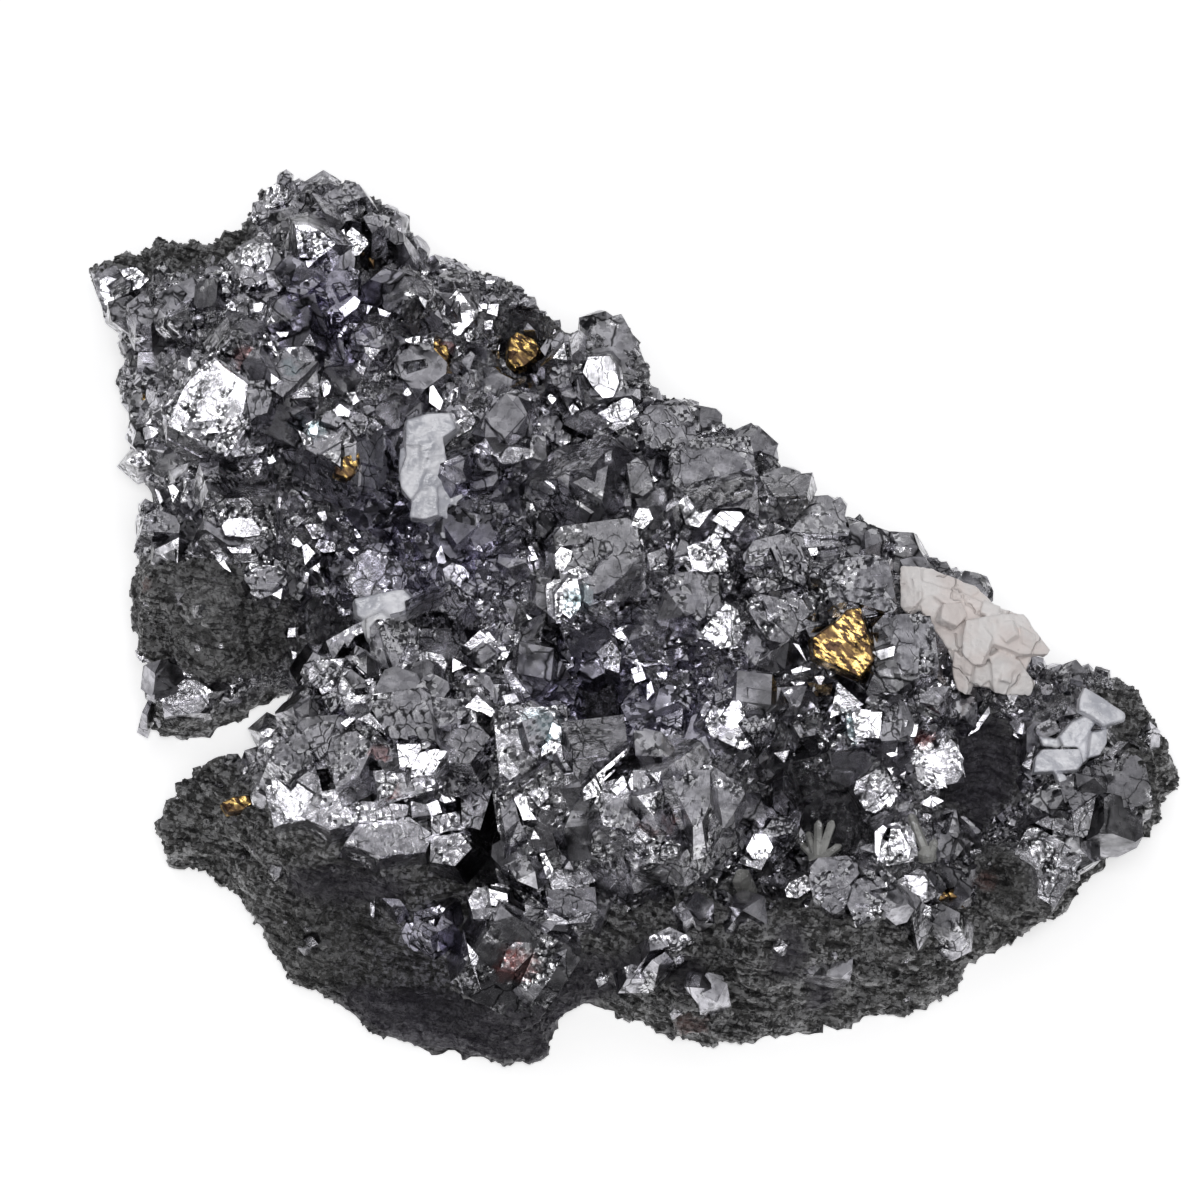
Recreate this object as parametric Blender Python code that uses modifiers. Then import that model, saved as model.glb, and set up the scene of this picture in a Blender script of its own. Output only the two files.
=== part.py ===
"""Skutterudite specimen: metallic cubes and cubo-octahedra on their ore, with quartz, calcite and
chalcopyrite.

Metres, +Z up, +X to the right, +Y to the back. The origin is on the flat underside, below the middle.
"""

import math

import bmesh
import bpy
import numpy as np
from mathutils import Matrix, Vector, kdtree, noise

# Real sizes
MM = 0.001
SPECIMEN_WIDTH = 110.5 * MM
BLOCK_HEIGHT = 30 * MM
FOOT_HEIGHT = 1.5 * MM
PIECE_GAP = 0.34 * MM
REMESH_STEP = 1.3 * MM
BLOCK_TRIANGLES = 2100
RIM_DROP = 1.5 * MM
FLAT_ANGLE = math.radians(1.0)
SHORTEST_EDGE = 0.0005 * MM
TOUCHING = 0.004 * MM
DRAW_BACK = 0.02 * MM
WALL_SLOPE = 2.6
ROUGH_SPACING = 3.2 * MM
LUMP_SPACING = 9 * MM
LUMP_HEIGHT = 1.3 * MM
WALL_ROUGHNESS = 1.0 * MM
WALL_LUMP_SPACING = 11 * MM
WALL_LUMP_HEIGHT = 2.4 * MM
BACK_UNDERCUT = 0.07
UNDERSIDE_SPACING = 16 * MM
UNDERSIDE_HOLLOW = 9 * MM
UNDERSIDE_FLAT_SHARE = 0.1
FLAT_RADIUS = 14 * MM
BACK_STARTS = -35 * MM
BACK_FULL = 5 * MM
RIM_REACH_PIXELS = 12
HEIGHT_REACH = 2.5 * MM
FRONT_FACING = -0.35
BACK_FACING = 0.6
DROP_FULL_HEIGHT = 10 * MM
PIT_LEVEL = 15 * MM
LUMP_LAYER = 0.3
LUMP_MEAN = 0.35
LOWEST_TOP = 0.9 * MM
HIGHEST_LEVEL = 42 * MM
LEVEL_STEP = 0.4 * MM
OUTLINE_MERGE = 0.01 * MM
WANDER_APART = Vector((31.7, 5.3, 12.9))
TABLE_CUT_WIDTH = 200 * MM
TABLE_CUT_DEPTH = 20 * MM

# Shares of a crystal's size
CRYSTAL_PROUD = 0.1
BLADE_POINT_OF_WIDTH = 0.45
BLADE_POINT_OF_LENGTH = 0.4
BLADE_TIP = 0.35

# The view that places are read from: its angle above the table, its distance, and the point it looks at
VIEW_ANGLE = math.radians(60)
VIEW_DISTANCE = 0.55
VIEW_TARGET = Vector((-2.0 * MM, 0.8 * MM, 10 * MM))
PICTURE_MIDDLE = 600
OUTLINE_LEFT = 84
OUTLINE_RIGHT = 1189
PIXEL = SPECIMEN_WIDTH / (OUTLINE_RIGHT - OUTLINE_LEFT)

# The edge of the specimen in that view, clockwise from the left tip, in picture pixels
OUTLINE = [
    (84, 275), (100, 264), (130, 249), (165, 238), (200, 235), (230, 230), (253, 217), (265, 194),
    (278, 184), (300, 181), (320, 185), (340, 179), (360, 183), (378, 200), (402, 220), (430, 252),
    (468, 267), (500, 272), (522, 290), (550, 313), (572, 328), (608, 329), (623, 350), (652, 385),
    (695, 403), (712, 420), (757, 431), (770, 450), (800, 480), (832, 503), (870, 526), (900, 545),
    (940, 560), (975, 585), (1005, 618), (1035, 655), (1060, 672), (1087, 663), (1115, 674),
    (1140, 693), (1159, 719), (1172, 749), (1188, 762), (1188, 773), (1159, 806), (1154, 824),
    (1140, 841), (1105, 864), (1063, 902), (1054, 921), (1003, 943), (968, 958), (968, 978),
    (923, 1010), (859, 1020), (783, 1034), (700, 1041), (675, 1040), (645, 1025), (590, 998),
    (553, 1027), (555, 1050), (509, 1063), (431, 1050), (362, 1024), (325, 990), (302, 987),
    (271, 961), (271, 944), (252, 924), (222, 889), (209, 872), (173, 866), (159, 852), (164, 803),
    (193, 769), (222, 751), (250, 768), (262, 735), (285, 722), (295, 700), (300, 675), (286, 652),
    (276, 664), (280, 690), (250, 713), (200, 727), (160, 738), (143, 715), (150, 665), (125, 645),
    (126, 600), (135, 560), (138, 530), (152, 497), (122, 465), (132, 430), (132, 411), (113, 380),
    (116, 345), (113, 328), (100, 305),
]

# Heights of the ore under its crystals, in millimetres, at places in the picture
HEIGHTS = [
    (100, 275, 12), (200, 250, 16), (260, 215, 17), (320, 200, 21), (380, 212, 17), (430, 265, 15),
    (500, 285, 14), (545, 325, 15), (610, 345, 18), (680, 405, 17), (750, 440, 17), (830, 510, 16),
    (900, 552, 16), (960, 585, 15), (1020, 650, 14), (1090, 675, 14), (1150, 720, 12), (1180, 765, 9),
    (1130, 835, 8), (1060, 890, 6), (990, 935, 6), (150, 700, 11), (135, 600, 12), (145, 500, 12),
    (125, 400, 12), (170, 830, 7), (160, 300, 18), (230, 300, 21), (310, 270, 21), (390, 300, 19),
    (450, 310, 16), (210, 400, 19), (275, 380, 20), (335, 435, 17), (400, 370, 17), (470, 370, 15),
    (230, 490, 15), (165, 470, 13), (170, 530, 13), (300, 500, 13), (380, 520, 11), (440, 575, 11),
    (340, 610, 10), (430, 650, 12), (500, 600, 14), (500, 480, 16), (570, 480, 18), (640, 420, 18),
    (600, 570, 17), (570, 650, 16), (640, 650, 16), (710, 490, 20), (770, 540, 20), (700, 570, 18),
    (720, 640, 17), (670, 690, 15), (840, 560, 19), (860, 630, 19), (790, 650, 17), (790, 710, 15),
    (905, 650, 18), (940, 710, 15), (765, 780, 11), (820, 800, 9), (840, 745, 12), (885, 730, 16),
    (905, 790, 14), (920, 850, 14), (870, 880, 16), (1000, 690, 13), (1000, 740, 8), (985, 800, 7),
    (1060, 760, 12), (1120, 770, 13), (1080, 820, 11), (1040, 865, 10), (1000, 880, 10),
    (200, 610, 16), (250, 640, 14), (170, 640, 14), (220, 700, 14), (310, 740, 20), (400, 720, 23),
    (460, 720, 22), (535, 745, 22), (600, 770, 21), (570, 700, 16), (660, 790, 20), (725, 760, 18),
    (740, 715, 17), (545, 820, 18), (485, 830, 12), (420, 800, 19), (320, 820, 16), (240, 820, 12),
    (300, 870, 12), (400, 870, 14), (350, 940, 6), (450, 940, 8), (510, 920, 11), (540, 970, 8),
    (430, 1010, 3), (340, 985, 3), (560, 900, 14), (630, 900, 14), (610, 960, 8), (700, 900, 15),
    (760, 880, 12), (800, 915, 15), (880, 910, 15), (700, 1000, 6), (800, 990, 7), (900, 980, 6),
    (940, 930, 10),
]

# Open pits between the crystals: place, radius across and down the picture, and depth in millimetres
PITS = [
    (523, 350, 26, 30, 7), (600, 700, 22, 28, 6), (800, 800, 62, 34, 4), (990, 775, 38, 46, 2.5),
    (325, 620, 30, 26, 3), (490, 830, 13, 44, 7), (750, 872, 34, 14, 5), (585, 422, 24, 14, 4),
    (372, 262, 26, 12, 5), (420, 682, 34, 12, 4), (178, 343, 28, 10, 4), (570, 925, 16, 26, 4),
]

# Crystals that show a cube face: place, width in pixels, corner cut, lean to the right and up, spin
SQUARE_ON = [
    (122, 285, 52, 2.6, 0, 2, 20), (257, 262, 46, 2.4, 2, 0, 30), (305, 288, 42, 2.6, -10, -30, 5),
    (340, 200, 48, 2.5, 0, 30, 12), (280, 198, 34, 2.4, 0, 0, 40), (380, 230, 32, 2.5, 5, 28, 20),
    (335, 292, 46, 2.5, 0, 22, 0), (285, 330, 46, 2.6, 0, 0, 15), (290, 374, 52, 2.6, 2, 12, 5),
    (275, 420, 38, 2.6, 10, -20, 25), (215, 404, 78, 2.85, -3, 0, -36), (245, 437, 38, 2.7, 0, 0, 10),
    (575, 377, 44, 2.6, 0, 27, 30), (612, 362, 72, 2.6, 15, 32, 10), (600, 380, 46, 2.4, 0, 0, 5),
    (618, 411, 36, 2.6, 0, 0, 25), (668, 427, 52, 2.6, 0, 28, 10), (715, 474, 80, 2.5, 0, 27, 5),
    (658, 508, 38, 2.6, 15, -10, 20), (728, 521, 34, 2.5, 0, 0, 10), (705, 559, 42, 2.6, 0, 0, 30),
    (695, 595, 48, 2.7, -10, 20, 5), (718, 627, 44, 2.6, 0, 0, 10), (783, 492, 50, 2.5, 0, 27, 25),
    (817, 522, 56, 2.5, 2, 26, 5), (775, 564, 58, 2.5, -3, 25, 15), (780, 612, 54, 2.6, 10, 10, 30),
    (860, 587, 64, 2.5, 0, 26, 10), (905, 645, 62, 2.6, 10, 20, 2), (866, 722, 38, 2.7, 0, 0, 5),
    (893, 720, 38, 2.6, 20, 10, 20), (510, 441, 46, 2.3, 5, 5, 20), (600, 562, 82, 2.8, 0, 18, 8),
    (568, 600, 42, 2.6, 0, 4, 5), (590, 633, 50, 2.6, 5, -20, 25), (645, 645, 40, 2.6, 5, 15, 10),
    (375, 577, 54, 2.3, 5, 5, 30), (242, 530, 66, 2.6, 0, -2, 5), (265, 578, 38, 2.6, 5, 15, 20),
    (185, 692, 46, 2.6, 0, 0, 5), (342, 690, 62, 2.7, 0, 3, 5), (395, 643, 50, 2.7, -15, 12, 5),
    (428, 647, 62, 2.7, 10, -5, 15), (528, 676, 40, 2.7, 0, 2, 20), (533, 744, 70, 2.7, 3, 2, 5),
    (402, 722, 62, 2.7, -3, 20, 10), (452, 724, 48, 2.6, 8, 20, 5), (410, 765, 52, 2.6, 0, 0, 15),
    (468, 765, 54, 2.6, 25, -15, 20), (322, 743, 54, 2.6, -10, 20, 5), (295, 760, 42, 2.6, -20, 0, 10),
    (357, 765, 54, 2.6, -5, -5, 20), (295, 795, 52, 2.7, 0, 0, 12), (545, 822, 88, 2.8, 0, -6, 8),
    (557, 893, 62, 2.8, 0, 15, 4), (697, 800, 64, 2.6, 5, 18, 10),
    (592, 768, 50, 2.6, -18, 0, 5), (738, 718, 62, 2.25, -2, 0, 20), (783, 833, 36, 2.8, 15, 20, 30),
    (895, 844, 40, 2.6, 0, 0, 10), (916, 889, 32, 2.7, 0, 0, 30), (938, 763, 46, 2.6, 0, 0, 10),
    (850, 757, 38, 2.6, -5, -15, 15), (875, 792, 36, 2.6, 0, 10, 30), (835, 880, 46, 2.6, 0, 22, 5),
    (868, 899, 42, 2.6, 3, 18, 20), (1122, 779, 68, 2.6, 0, 12, 10), (1076, 807, 60, 2.5, -5, 8, 30),
    (1043, 866, 60, 2.8, 3, 2, -30), (493, 907, 42, 2.6, 3, 5, 15), (517, 970, 92, 2.7, 5, -10, -30),
    (675, 930, 50, 2.4, 0, 10, 10), (700, 1008, 54, 2.3, 5, -20, 20), (770, 960, 64, 2.4, 0, -20, 10),
    (880, 955, 56, 2.4, 5, -20, 25),
]

# Crystals that show an octahedral face, in the same terms
CORNER_ON = [
    (640, 805, 118, 1.75, -8, 4, 0),
    (142, 314, 34, 1.8, 20, 25, 10), (177, 322, 42, 1.5, 10, -15, 0), (312, 245, 50, 2.0, 0, 0, 180),
    (357, 243, 36, 2.0, 0, 0, 160), (402, 306, 54, 1.7, -5, -20, 10), (370, 338, 38, 1.5, 0, 26, 0),
    (238, 352, 62, 1.6, -10, -10, 30), (260, 394, 40, 1.5, 5, 20, 10), (335, 441, 82, 1.7, -4, 6, 15),
    (637, 480, 40, 1.7, -10, 0, 20), (590, 484, 86, 1.6, 0, 10, 10), (192, 492, 40, 1.9, 0, 10, 180),
    (155, 524, 42, 1.7, -5, 0, 20), (165, 592, 58, 1.6, -10, 5, 0), (210, 600, 54, 1.6, 0, 10, 20),
    (250, 620, 52, 1.7, 5, 5, 40), (158, 645, 58, 1.6, -10, -10, 10), (213, 652, 62, 1.6, 0, -5, 30),
    (178, 708, 52, 1.6, -5, -10, 0), (228, 702, 56, 1.6, 5, -5, 25), (305, 712, 46, 1.8, -15, 5, 20),
    (670, 728, 46, 1.5, 0, 5, 10), (760, 848, 38, 1.5, 0, 0, 8), (1004, 884, 84, 1.55, -8, 5, 20),
    (432, 922, 44, 1.5, 0, 8, 0), (455, 579, 36, 1.7, 0, 0, 20), (640, 972, 52, 1.6, 5, -10, 0),
    (820, 940, 62, 1.6, 0, -10, 20), (455, 470, 44, 1.7, 0, 10, 10), (930, 705, 42, 1.7, 5, -5, 15),
]

# Blades and prisms of the other minerals: two ends of the axis in the picture, their heights above
# the ore in millimetres, width and thickness in pixels, and turn about the axis
QUARTZ_PRISM = [(425, 514, 1.6, 428, 414, 3.0, 50, 44, 0)]
QUARTZ_WEDGE = [(366, 640, 1.2, 384, 594, 2.4, 34, 26, 20)]
QUARTZ_FAN = [
    (816, 858, 0.5, 806, 830, 4.5, 8, 8, 0), (818, 858, 0.5, 816, 818, 6.5, 9, 8, 10),
    (820, 858, 0.5, 830, 818, 6.5, 9, 8, 20), (822, 859, 0.5, 839, 843, 4.0, 8, 7, 0),
    (814, 857, 0.5, 800, 842, 3.0, 7, 7, 0), (820, 861, 0.0, 818, 845, 2.5, 22, 10, 0),
]
QUARTZ_BLADE = [(750, 898, 0.8, 738, 870, 2.2, 20, 12, 15)]
QUARTZ_NEEDLES = [
    (928, 858, 0.6, 908, 812, 4.0, 9, 8, 0), (930, 858, 0.6, 933, 838, 3.0, 9, 8, 10),
    (927, 860, 0.2, 925, 846, 2.0, 18, 10, 0),
]
QUARTZ_SPRAY = [
    (1122, 716, 1.0, 1080, 697, 4.2, 22, 10, 15), (1084, 760, 1.4, 1035, 760, 3.8, 25, 10, 10),
    (1094, 757, 1.0, 1102, 728, 3.4, 17, 10, 0), (1092, 716, 0.6, 1072, 742, 2.2, 26, 12, 0),
    (1088, 740, 0.8, 1041, 739, 2.2, 9, 8, 0), (1090, 760, 0.8, 1093, 704, 3.0, 24, 14, 0),
    (1078, 757, 1.5, 1062, 798, 1.6, 10, 10, 0),
]
CALCITE = [
    (985, 625, 1.5, 905, 590, 3.5, 46, 16, 0), (1000, 650, 1.5, 945, 588, 5.0, 52, 18, 20),
    (1005, 650, 2.0, 985, 590, 5.5, 48, 18, -10), (1046, 652, 2.0, 985, 615, 5.5, 54, 18, 10),
    (1025, 690, 0.8, 1000, 640, 5.0, 44, 16, 0), (985, 665, 1.0, 972, 620, 6.0, 32, 20, 5),
    (960, 690, 0.5, 960, 635, 3.5, 36, 18, -10), (985, 690, 0.5, 990, 650, 3.0, 34, 20, 10),
]
CHALCOPYRITE_LARGE = [(835, 668, 1.5, 845, 610, 3.5, 48, 34, 0), (860, 662, 1.0, 852, 625, 3.0, 30, 26, 20)]
CHALCOPYRITE_SMALL = [(520, 364, 0.8, 526, 336, 2.4, 28, 24, 10)]


def view_axes():
    """Right, up and toward the viewer, as seen in the view."""
    right = Vector((1, 0, 0))
    up = Vector((0, math.sin(VIEW_ANGLE), math.cos(VIEW_ANGLE)))
    toward = Vector((0, -math.cos(VIEW_ANGLE), math.sin(VIEW_ANGLE)))
    return right, up, toward


RIGHT, UP, TOWARD = view_axes()
EYE = VIEW_TARGET + TOWARD * VIEW_DISTANCE


def at_height(across, down, height):
    """The point on the sight line through a picture place that is this high above the table."""
    seen = VIEW_TARGET + RIGHT * (across - PICTURE_MIDDLE) * PIXEL + UP * (PICTURE_MIDDLE - down) * PIXEL
    line = seen - EYE
    return EYE + line * ((height - EYE.z) / line.z)


def blended(places, values, at, reach):
    """Values at the places, spread smoothly to the points, each weighing by its nearness to the fourth
    power."""
    squares = ((at[:, None, :] - places[None, :, :]) ** 2).sum(axis=2)
    weights = 1 / (squares + reach**2) ** 2
    return (weights * values).sum(axis=1) / weights.sum(axis=1)


def smooth_step(low, high, value):
    share = np.clip((value - low) / (high - low), 0, 1)
    return share * share * (3 - 2 * share)


def rim_points():
    """The specimen's edge on the table's plan, with each point's height: back edges are seen at the top
    of their wall, front edges at its foot."""
    picture = np.array(OUTLINE, float)
    table = np.array(HEIGHTS, float)
    tops = blended(table[:, :2], table[:, 2] * MM, picture, RIM_REACH_PIXELS)
    ahead = np.roll(picture, -1, axis=0) - np.roll(picture, 1, axis=0)
    facing_up = ahead[:, 0] / np.linalg.norm(ahead, axis=1)
    heights = FOOT_HEIGHT + (tops - FOOT_HEIGHT) * smooth_step(FRONT_FACING, BACK_FACING, facing_up)
    for _ in range(2):
        heights = (np.roll(heights, 1) + 2 * heights + np.roll(heights, -1)) / 4
    drop = RIM_DROP * smooth_step(FOOT_HEIGHT, DROP_FULL_HEIGHT, heights)
    return np.array([at_height(a, d, h) for (a, d), h in zip(picture, heights - drop)])


RIM = rim_points()
HEIGHT_PLACES = np.array([at_height(a, d, h * MM) for a, d, h in HEIGHTS])


def rim_limit(at):
    """How high the ore may stand at points near its edge: the edge's own height, and a steep wall up
    from it."""
    start = RIM[:, :2]
    run = np.roll(RIM, -1, axis=0)[:, :2] - start
    climb = np.roll(RIM, -1, axis=0)[:, 2] - RIM[:, 2]
    offset = at[:, None, :] - start[None]
    share = np.clip((offset * run).sum(axis=2) / (run**2).sum(axis=1), 0, 1)
    distance = np.linalg.norm(offset - share[..., None] * run, axis=2)
    limit = RIM[:, 2] + share * climb + WALL_SLOPE * distance
    return limit.min(axis=1)


def pit_depth(at):
    depth = np.zeros(len(at))
    for across, down, wide, tall, deep in PITS:
        middle = at_height(across, down, PIT_LEVEL)
        east = (at[:, 0] - middle.x) / (wide * PIXEL)
        north = (at[:, 1] - middle.y) / (tall * PIXEL / math.sin(VIEW_ANGLE))
        depth += deep * MM * np.exp(-(east**2 + north**2))
    return depth


def lumps(at):
    """Rounded lumps and sharp valleys between them, about zero on average."""
    heights = []
    for x, y in at:
        near = noise.voronoi(Vector((x / LUMP_SPACING, y / LUMP_SPACING, LUMP_LAYER)))[0]
        heights.append(LUMP_MEAN - near[0])
    return LUMP_HEIGHT * 2 * np.array(heights)


def ore_top(at):
    """Height of the ore's upper surface at points on the plan, an array of x and y."""
    surface = blended(HEIGHT_PLACES[:, :2], HEIGHT_PLACES[:, 2], at, HEIGHT_REACH)
    surface = surface + lumps(at) - pit_depth(at)
    return np.maximum(np.minimum(surface, rim_limit(at)), LOWEST_TOP)


def ore_hit(across, down):
    """Where the sight line through a picture place meets the ore."""
    levels = np.arange(HIGHEST_LEVEL, 0, -LEVEL_STEP)
    line = np.array([at_height(across, down, level) for level in levels])
    below = np.nonzero(ore_top(line[:, :2]) >= levels)[0]
    return Vector(line[below[0] if len(below) else -1])


def material(name, colour, roughness, metallic, transmission=0.0):
    made = bpy.data.materials.new(name)
    made.use_nodes = True
    shader = made.node_tree.nodes["Principled BSDF"]
    shader.inputs["Base Color"].default_value = (*colour, 1)
    shader.inputs["Roughness"].default_value = roughness
    shader.inputs["Metallic"].default_value = metallic
    shader.inputs["Transmission Weight"].default_value = transmission
    made.diffuse_color = (*colour, 1)
    return made


def new_object(name, form, collection):
    mesh = bpy.data.meshes.new(name)
    form.to_mesh(mesh)
    form.free()
    made = bpy.data.objects.new(name, mesh)
    collection.objects.link(made)
    return made


def baked(made):
    """Its modifiers' result as its own mesh."""
    graph = bpy.context.evaluated_depsgraph_get()
    mesh = bpy.data.meshes.new_from_object(made.evaluated_get(graph))
    made.modifiers.clear()
    made.data = mesh
    return made


def crystal_form(cut):
    """Corners of a cube of half width 1 whose own corners are cut by octahedral faces: 3 is a whole
    cube, 2 a cubo-octahedron, and 1 an octahedron."""
    corners = set()
    for axis in range(3):
        for first in (-1, 1):
            for second in (-1, 1):
                for third in (-1, 1):
                    if cut >= 2:
                        point = [first, second, third * (cut - 2)]
                    else:
                        point = [first, second * (cut - 1), 0]
                        corners.add(tuple(np.roll([first, 0, second * (cut - 1)], axis)))
                    corners.add(tuple(np.roll(point, axis)))
    return [Vector(corner) for corner in sorted(corners)]


def facing(lean_right, lean_up, spin):
    """A turn that takes +Z to the view's direction leaned by these angles, after a spin about +Z."""
    frame = Matrix((RIGHT, UP, TOWARD)).transposed()
    lean = Matrix.Rotation(math.radians(lean_right), 3, "Y") @ Matrix.Rotation(-math.radians(lean_up), 3, "X")
    return frame @ lean @ Matrix.Rotation(math.radians(spin), 3, "Z")


CORNER_TO_FRONT = Vector((1, 1, 1)).rotation_difference(Vector((0, 0, 1))).to_matrix()


def crystal(form, across, down, width, cut, lean_right, lean_up, spin, corner_on):
    """Adds one crystal to the form, its front face centred on a place of the picture."""
    turn = facing(lean_right, lean_up, spin)
    front = turn @ Vector((0, 0, 1))
    half = width * PIXEL / 2
    reach = half * (cut / math.sqrt(3) if corner_on else 1)
    if corner_on:
        turn = turn @ CORNER_TO_FRONT
    middle = ore_hit(across, down) + TOWARD * (reach + CRYSTAL_PROUD * half) - front * reach
    corners = [form.verts.new(middle + turn @ (corner * half)) for corner in crystal_form(cut)]
    bmesh.ops.convex_hull(form, input=corners)


def hexagon_blade(form, low, high, wide, thick, turn, grow=0.0):
    """A six-sided crystal from its foot to its pointed end, wider than it is thick, grown by a margin."""
    axis = (high - low).normalized()
    across = axis.cross(TOWARD).normalized()
    across = Matrix.Rotation(math.radians(turn), 3, axis) @ across
    front = axis.cross(across)
    sides = [(math.cos(math.radians(60 * i)), math.sin(math.radians(60 * i))) for i in range(6)]
    length = (high - low).length
    point = min(BLADE_POINT_OF_WIDTH * wide, BLADE_POINT_OF_LENGTH * length)
    corners = []
    for along, share in ((0, 1.0), (length - point, 1.0), (length, BLADE_TIP)):
        for east, north in sides:
            offset = across * east * wide / 2 * share + front * north * thick / 2 * share
            corners.append(form.verts.new(low + axis * along + offset))
    made = bmesh.ops.convex_hull(form, input=corners)
    if grow:
        form.normal_update()
        hull = [v for v in made["geom"] if isinstance(v, bmesh.types.BMVert)]
        moves = [(v, v.normal * grow * v.calc_shell_factor()) for v in hull]
        for vertex, move in moves:
            vertex.co += move


def blade_forms(rows, grow=0.0):
    """One closed form for each blade of a mineral."""
    forms = []
    for foot_x, foot_y, foot_lift, tip_x, tip_y, tip_lift, wide, thick, turn in rows:
        low = ore_hit(foot_x, foot_y) + TOWARD * foot_lift * MM
        high = ore_hit(tip_x, tip_y) + TOWARD * tip_lift * MM
        form = bmesh.new()
        hexagon_blade(form, low, high, wide * PIXEL, thick * PIXEL, turn, grow)
        forms.append(form)
    return forms


def thinned(target, triangles):
    """Fewer triangles, taken where the surface is flat."""
    now = sum(len(face.vertices) - 2 for face in target.data.polygons)
    thin = target.modifiers.new("Decimate", "DECIMATE")
    thin.ratio = min(1, triangles / now)
    thin.use_collapse_triangulate = True
    return baked(target)


def boolean(target, operation, others):
    cut = target.modifiers.new(operation.title(), "BOOLEAN")
    cut.operation = operation
    cut.solver = "EXACT"
    cut.operand_type = "COLLECTION"
    cut.collection = others
    cut.use_self = operation == "UNION"
    return baked(target)


def largest_shell(target):
    """Keeps the one body that holds together, without loose chips or closed bubbles inside it."""
    form = bmesh.new()
    form.from_mesh(target.data)
    bmesh.ops.dissolve_degenerate(form, edges=form.edges, dist=SHORTEST_EDGE)
    left = set(form.verts)
    shells = []
    while left:
        shell = {left.pop()}
        edge_of = list(shell)
        while edge_of:
            vertex = edge_of.pop()
            for edge in vertex.link_edges:
                other = edge.other_vert(vertex)
                if other in left:
                    left.remove(other)
                    shell.add(other)
                    edge_of.append(other)
        shells.append(shell)
    shells.sort(key=len)
    loose = [vertex for shell in shells[:-1] for vertex in shell]
    bmesh.ops.delete(form, geom=loose, context="VERTS")
    bmesh.ops.dissolve_limit(form, angle_limit=FLAT_ANGLE, verts=form.verts, edges=form.edges)
    bmesh.ops.triangulate(form, faces=form.faces)
    part_touching(form)
    form.to_mesh(target.data)
    form.free()


def part_touching(form):
    """Draws points that lie on one another back toward their neighbours, so that no two faces touch."""
    tree = kdtree.KDTree(len(form.verts))
    for vertex in form.verts:
        tree.insert(vertex.co, vertex.index)
    tree.balance()
    form.verts.ensure_lookup_table()
    touching = set()
    for vertex in form.verts:
        near = [index for _, index, _ in tree.find_range(vertex.co, TOUCHING)]
        if len(near) > 1:
            touching.update(near)
    moves = []
    for index in sorted(touching):
        vertex = form.verts[index]
        ends = [edge.other_vert(vertex).co for edge in vertex.link_edges]
        middle = sum(ends, Vector()) / len(ends)
        moves.append((vertex, (middle - vertex.co).normalized() * DRAW_BACK))
    for vertex, move in moves:
        vertex.co += move


def helper_collection(name, parent):
    made = bpy.data.collections.new(name)
    parent.children.link(made)
    return made


def ore_block(collection):
    """The ore without its crystals: the outline raised to a block, and the block shaped to the relief."""
    outline = bpy.data.curves.new("ore_outline", "CURVE")
    outline.dimensions = "2D"
    outline.fill_mode = "BOTH"
    outline.extrude = BLOCK_HEIGHT / 2
    line = outline.splines.new("POLY")
    line.points.add(len(RIM) - 1)
    for point, place in zip(line.points, RIM):
        point.co = (place[0], place[1], 0, 1)
    line.use_cyclic_u = True
    flat = bpy.data.objects.new("ore_outline", outline)
    collection.objects.link(flat)
    graph = bpy.context.evaluated_depsgraph_get()
    mesh = bpy.data.meshes.new_from_object(flat.evaluated_get(graph))
    bpy.data.objects.remove(flat)
    block = bpy.data.objects.new("ore_body", mesh)
    collection.objects.link(block)
    form = bmesh.new()
    form.from_mesh(mesh)
    bmesh.ops.remove_doubles(form, verts=form.verts, dist=OUTLINE_MERGE)
    bmesh.ops.translate(form, verts=form.verts, vec=(0, 0, BLOCK_HEIGHT / 2 - 2 * FOOT_HEIGHT))
    form.to_mesh(mesh)
    form.free()
    remesh = block.modifiers.new("Remesh", "REMESH")
    remesh.mode = "VOXEL"
    remesh.voxel_size = REMESH_STEP
    return baked(block)


def wander(place, spacing):
    """A smooth uneven shift to the side, different in x and y."""
    return np.array([noise.noise(place / spacing), noise.noise(place / spacing + WANDER_APART)])


def shape_block(block):
    points = np.empty(len(block.data.vertices) * 3)
    block.data.vertices.foreach_get("co", points)
    points = points.reshape(-1, 3)
    top = BLOCK_HEIGHT - 2 * FOOT_HEIGHT
    level = np.clip(points[:, 2] / top, 0, 1)
    surface = ore_top(points[:, :2])
    above = points[:, 2] > 0
    points[above, 2] = (level * surface)[above]
    behind = smooth_step(BACK_STARTS, BACK_FULL, points[:, 1])
    inward = 1 - BACK_UNDERCUT * (1 - level) * behind
    points[:, 0] *= inward
    points[:, 1] *= inward
    for index, (x, y, z) in enumerate(points):
        place = Vector((x, y, z))
        low = behind[index] * (1 - level[index])
        points[index, :2] += wander(place, ROUGH_SPACING) * WALL_ROUGHNESS
        points[index, :2] += wander(place, WALL_LUMP_SPACING) * WALL_LUMP_HEIGHT * low
        if not above[index]:
            hollow = noise.noise(place / UNDERSIDE_SPACING) - UNDERSIDE_FLAT_SHARE
            outside = smooth_step(FLAT_RADIUS, 2 * FLAT_RADIUS, math.hypot(x, y))
            points[index, 2] += max(0, hollow) * UNDERSIDE_HOLLOW * outside
    block.data.vertices.foreach_set("co", points.reshape(-1))
    block.data.update()
    return thinned(block, BLOCK_TRIANGLES)


def grown_crystals(collection):
    for number, row in enumerate(SQUARE_ON + CORNER_ON):
        form = bmesh.new()
        crystal(form, *row, corner_on=number >= len(SQUARE_ON))
        new_object(f"grown_crystal_{number + 1:03d}", form, collection)


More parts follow.
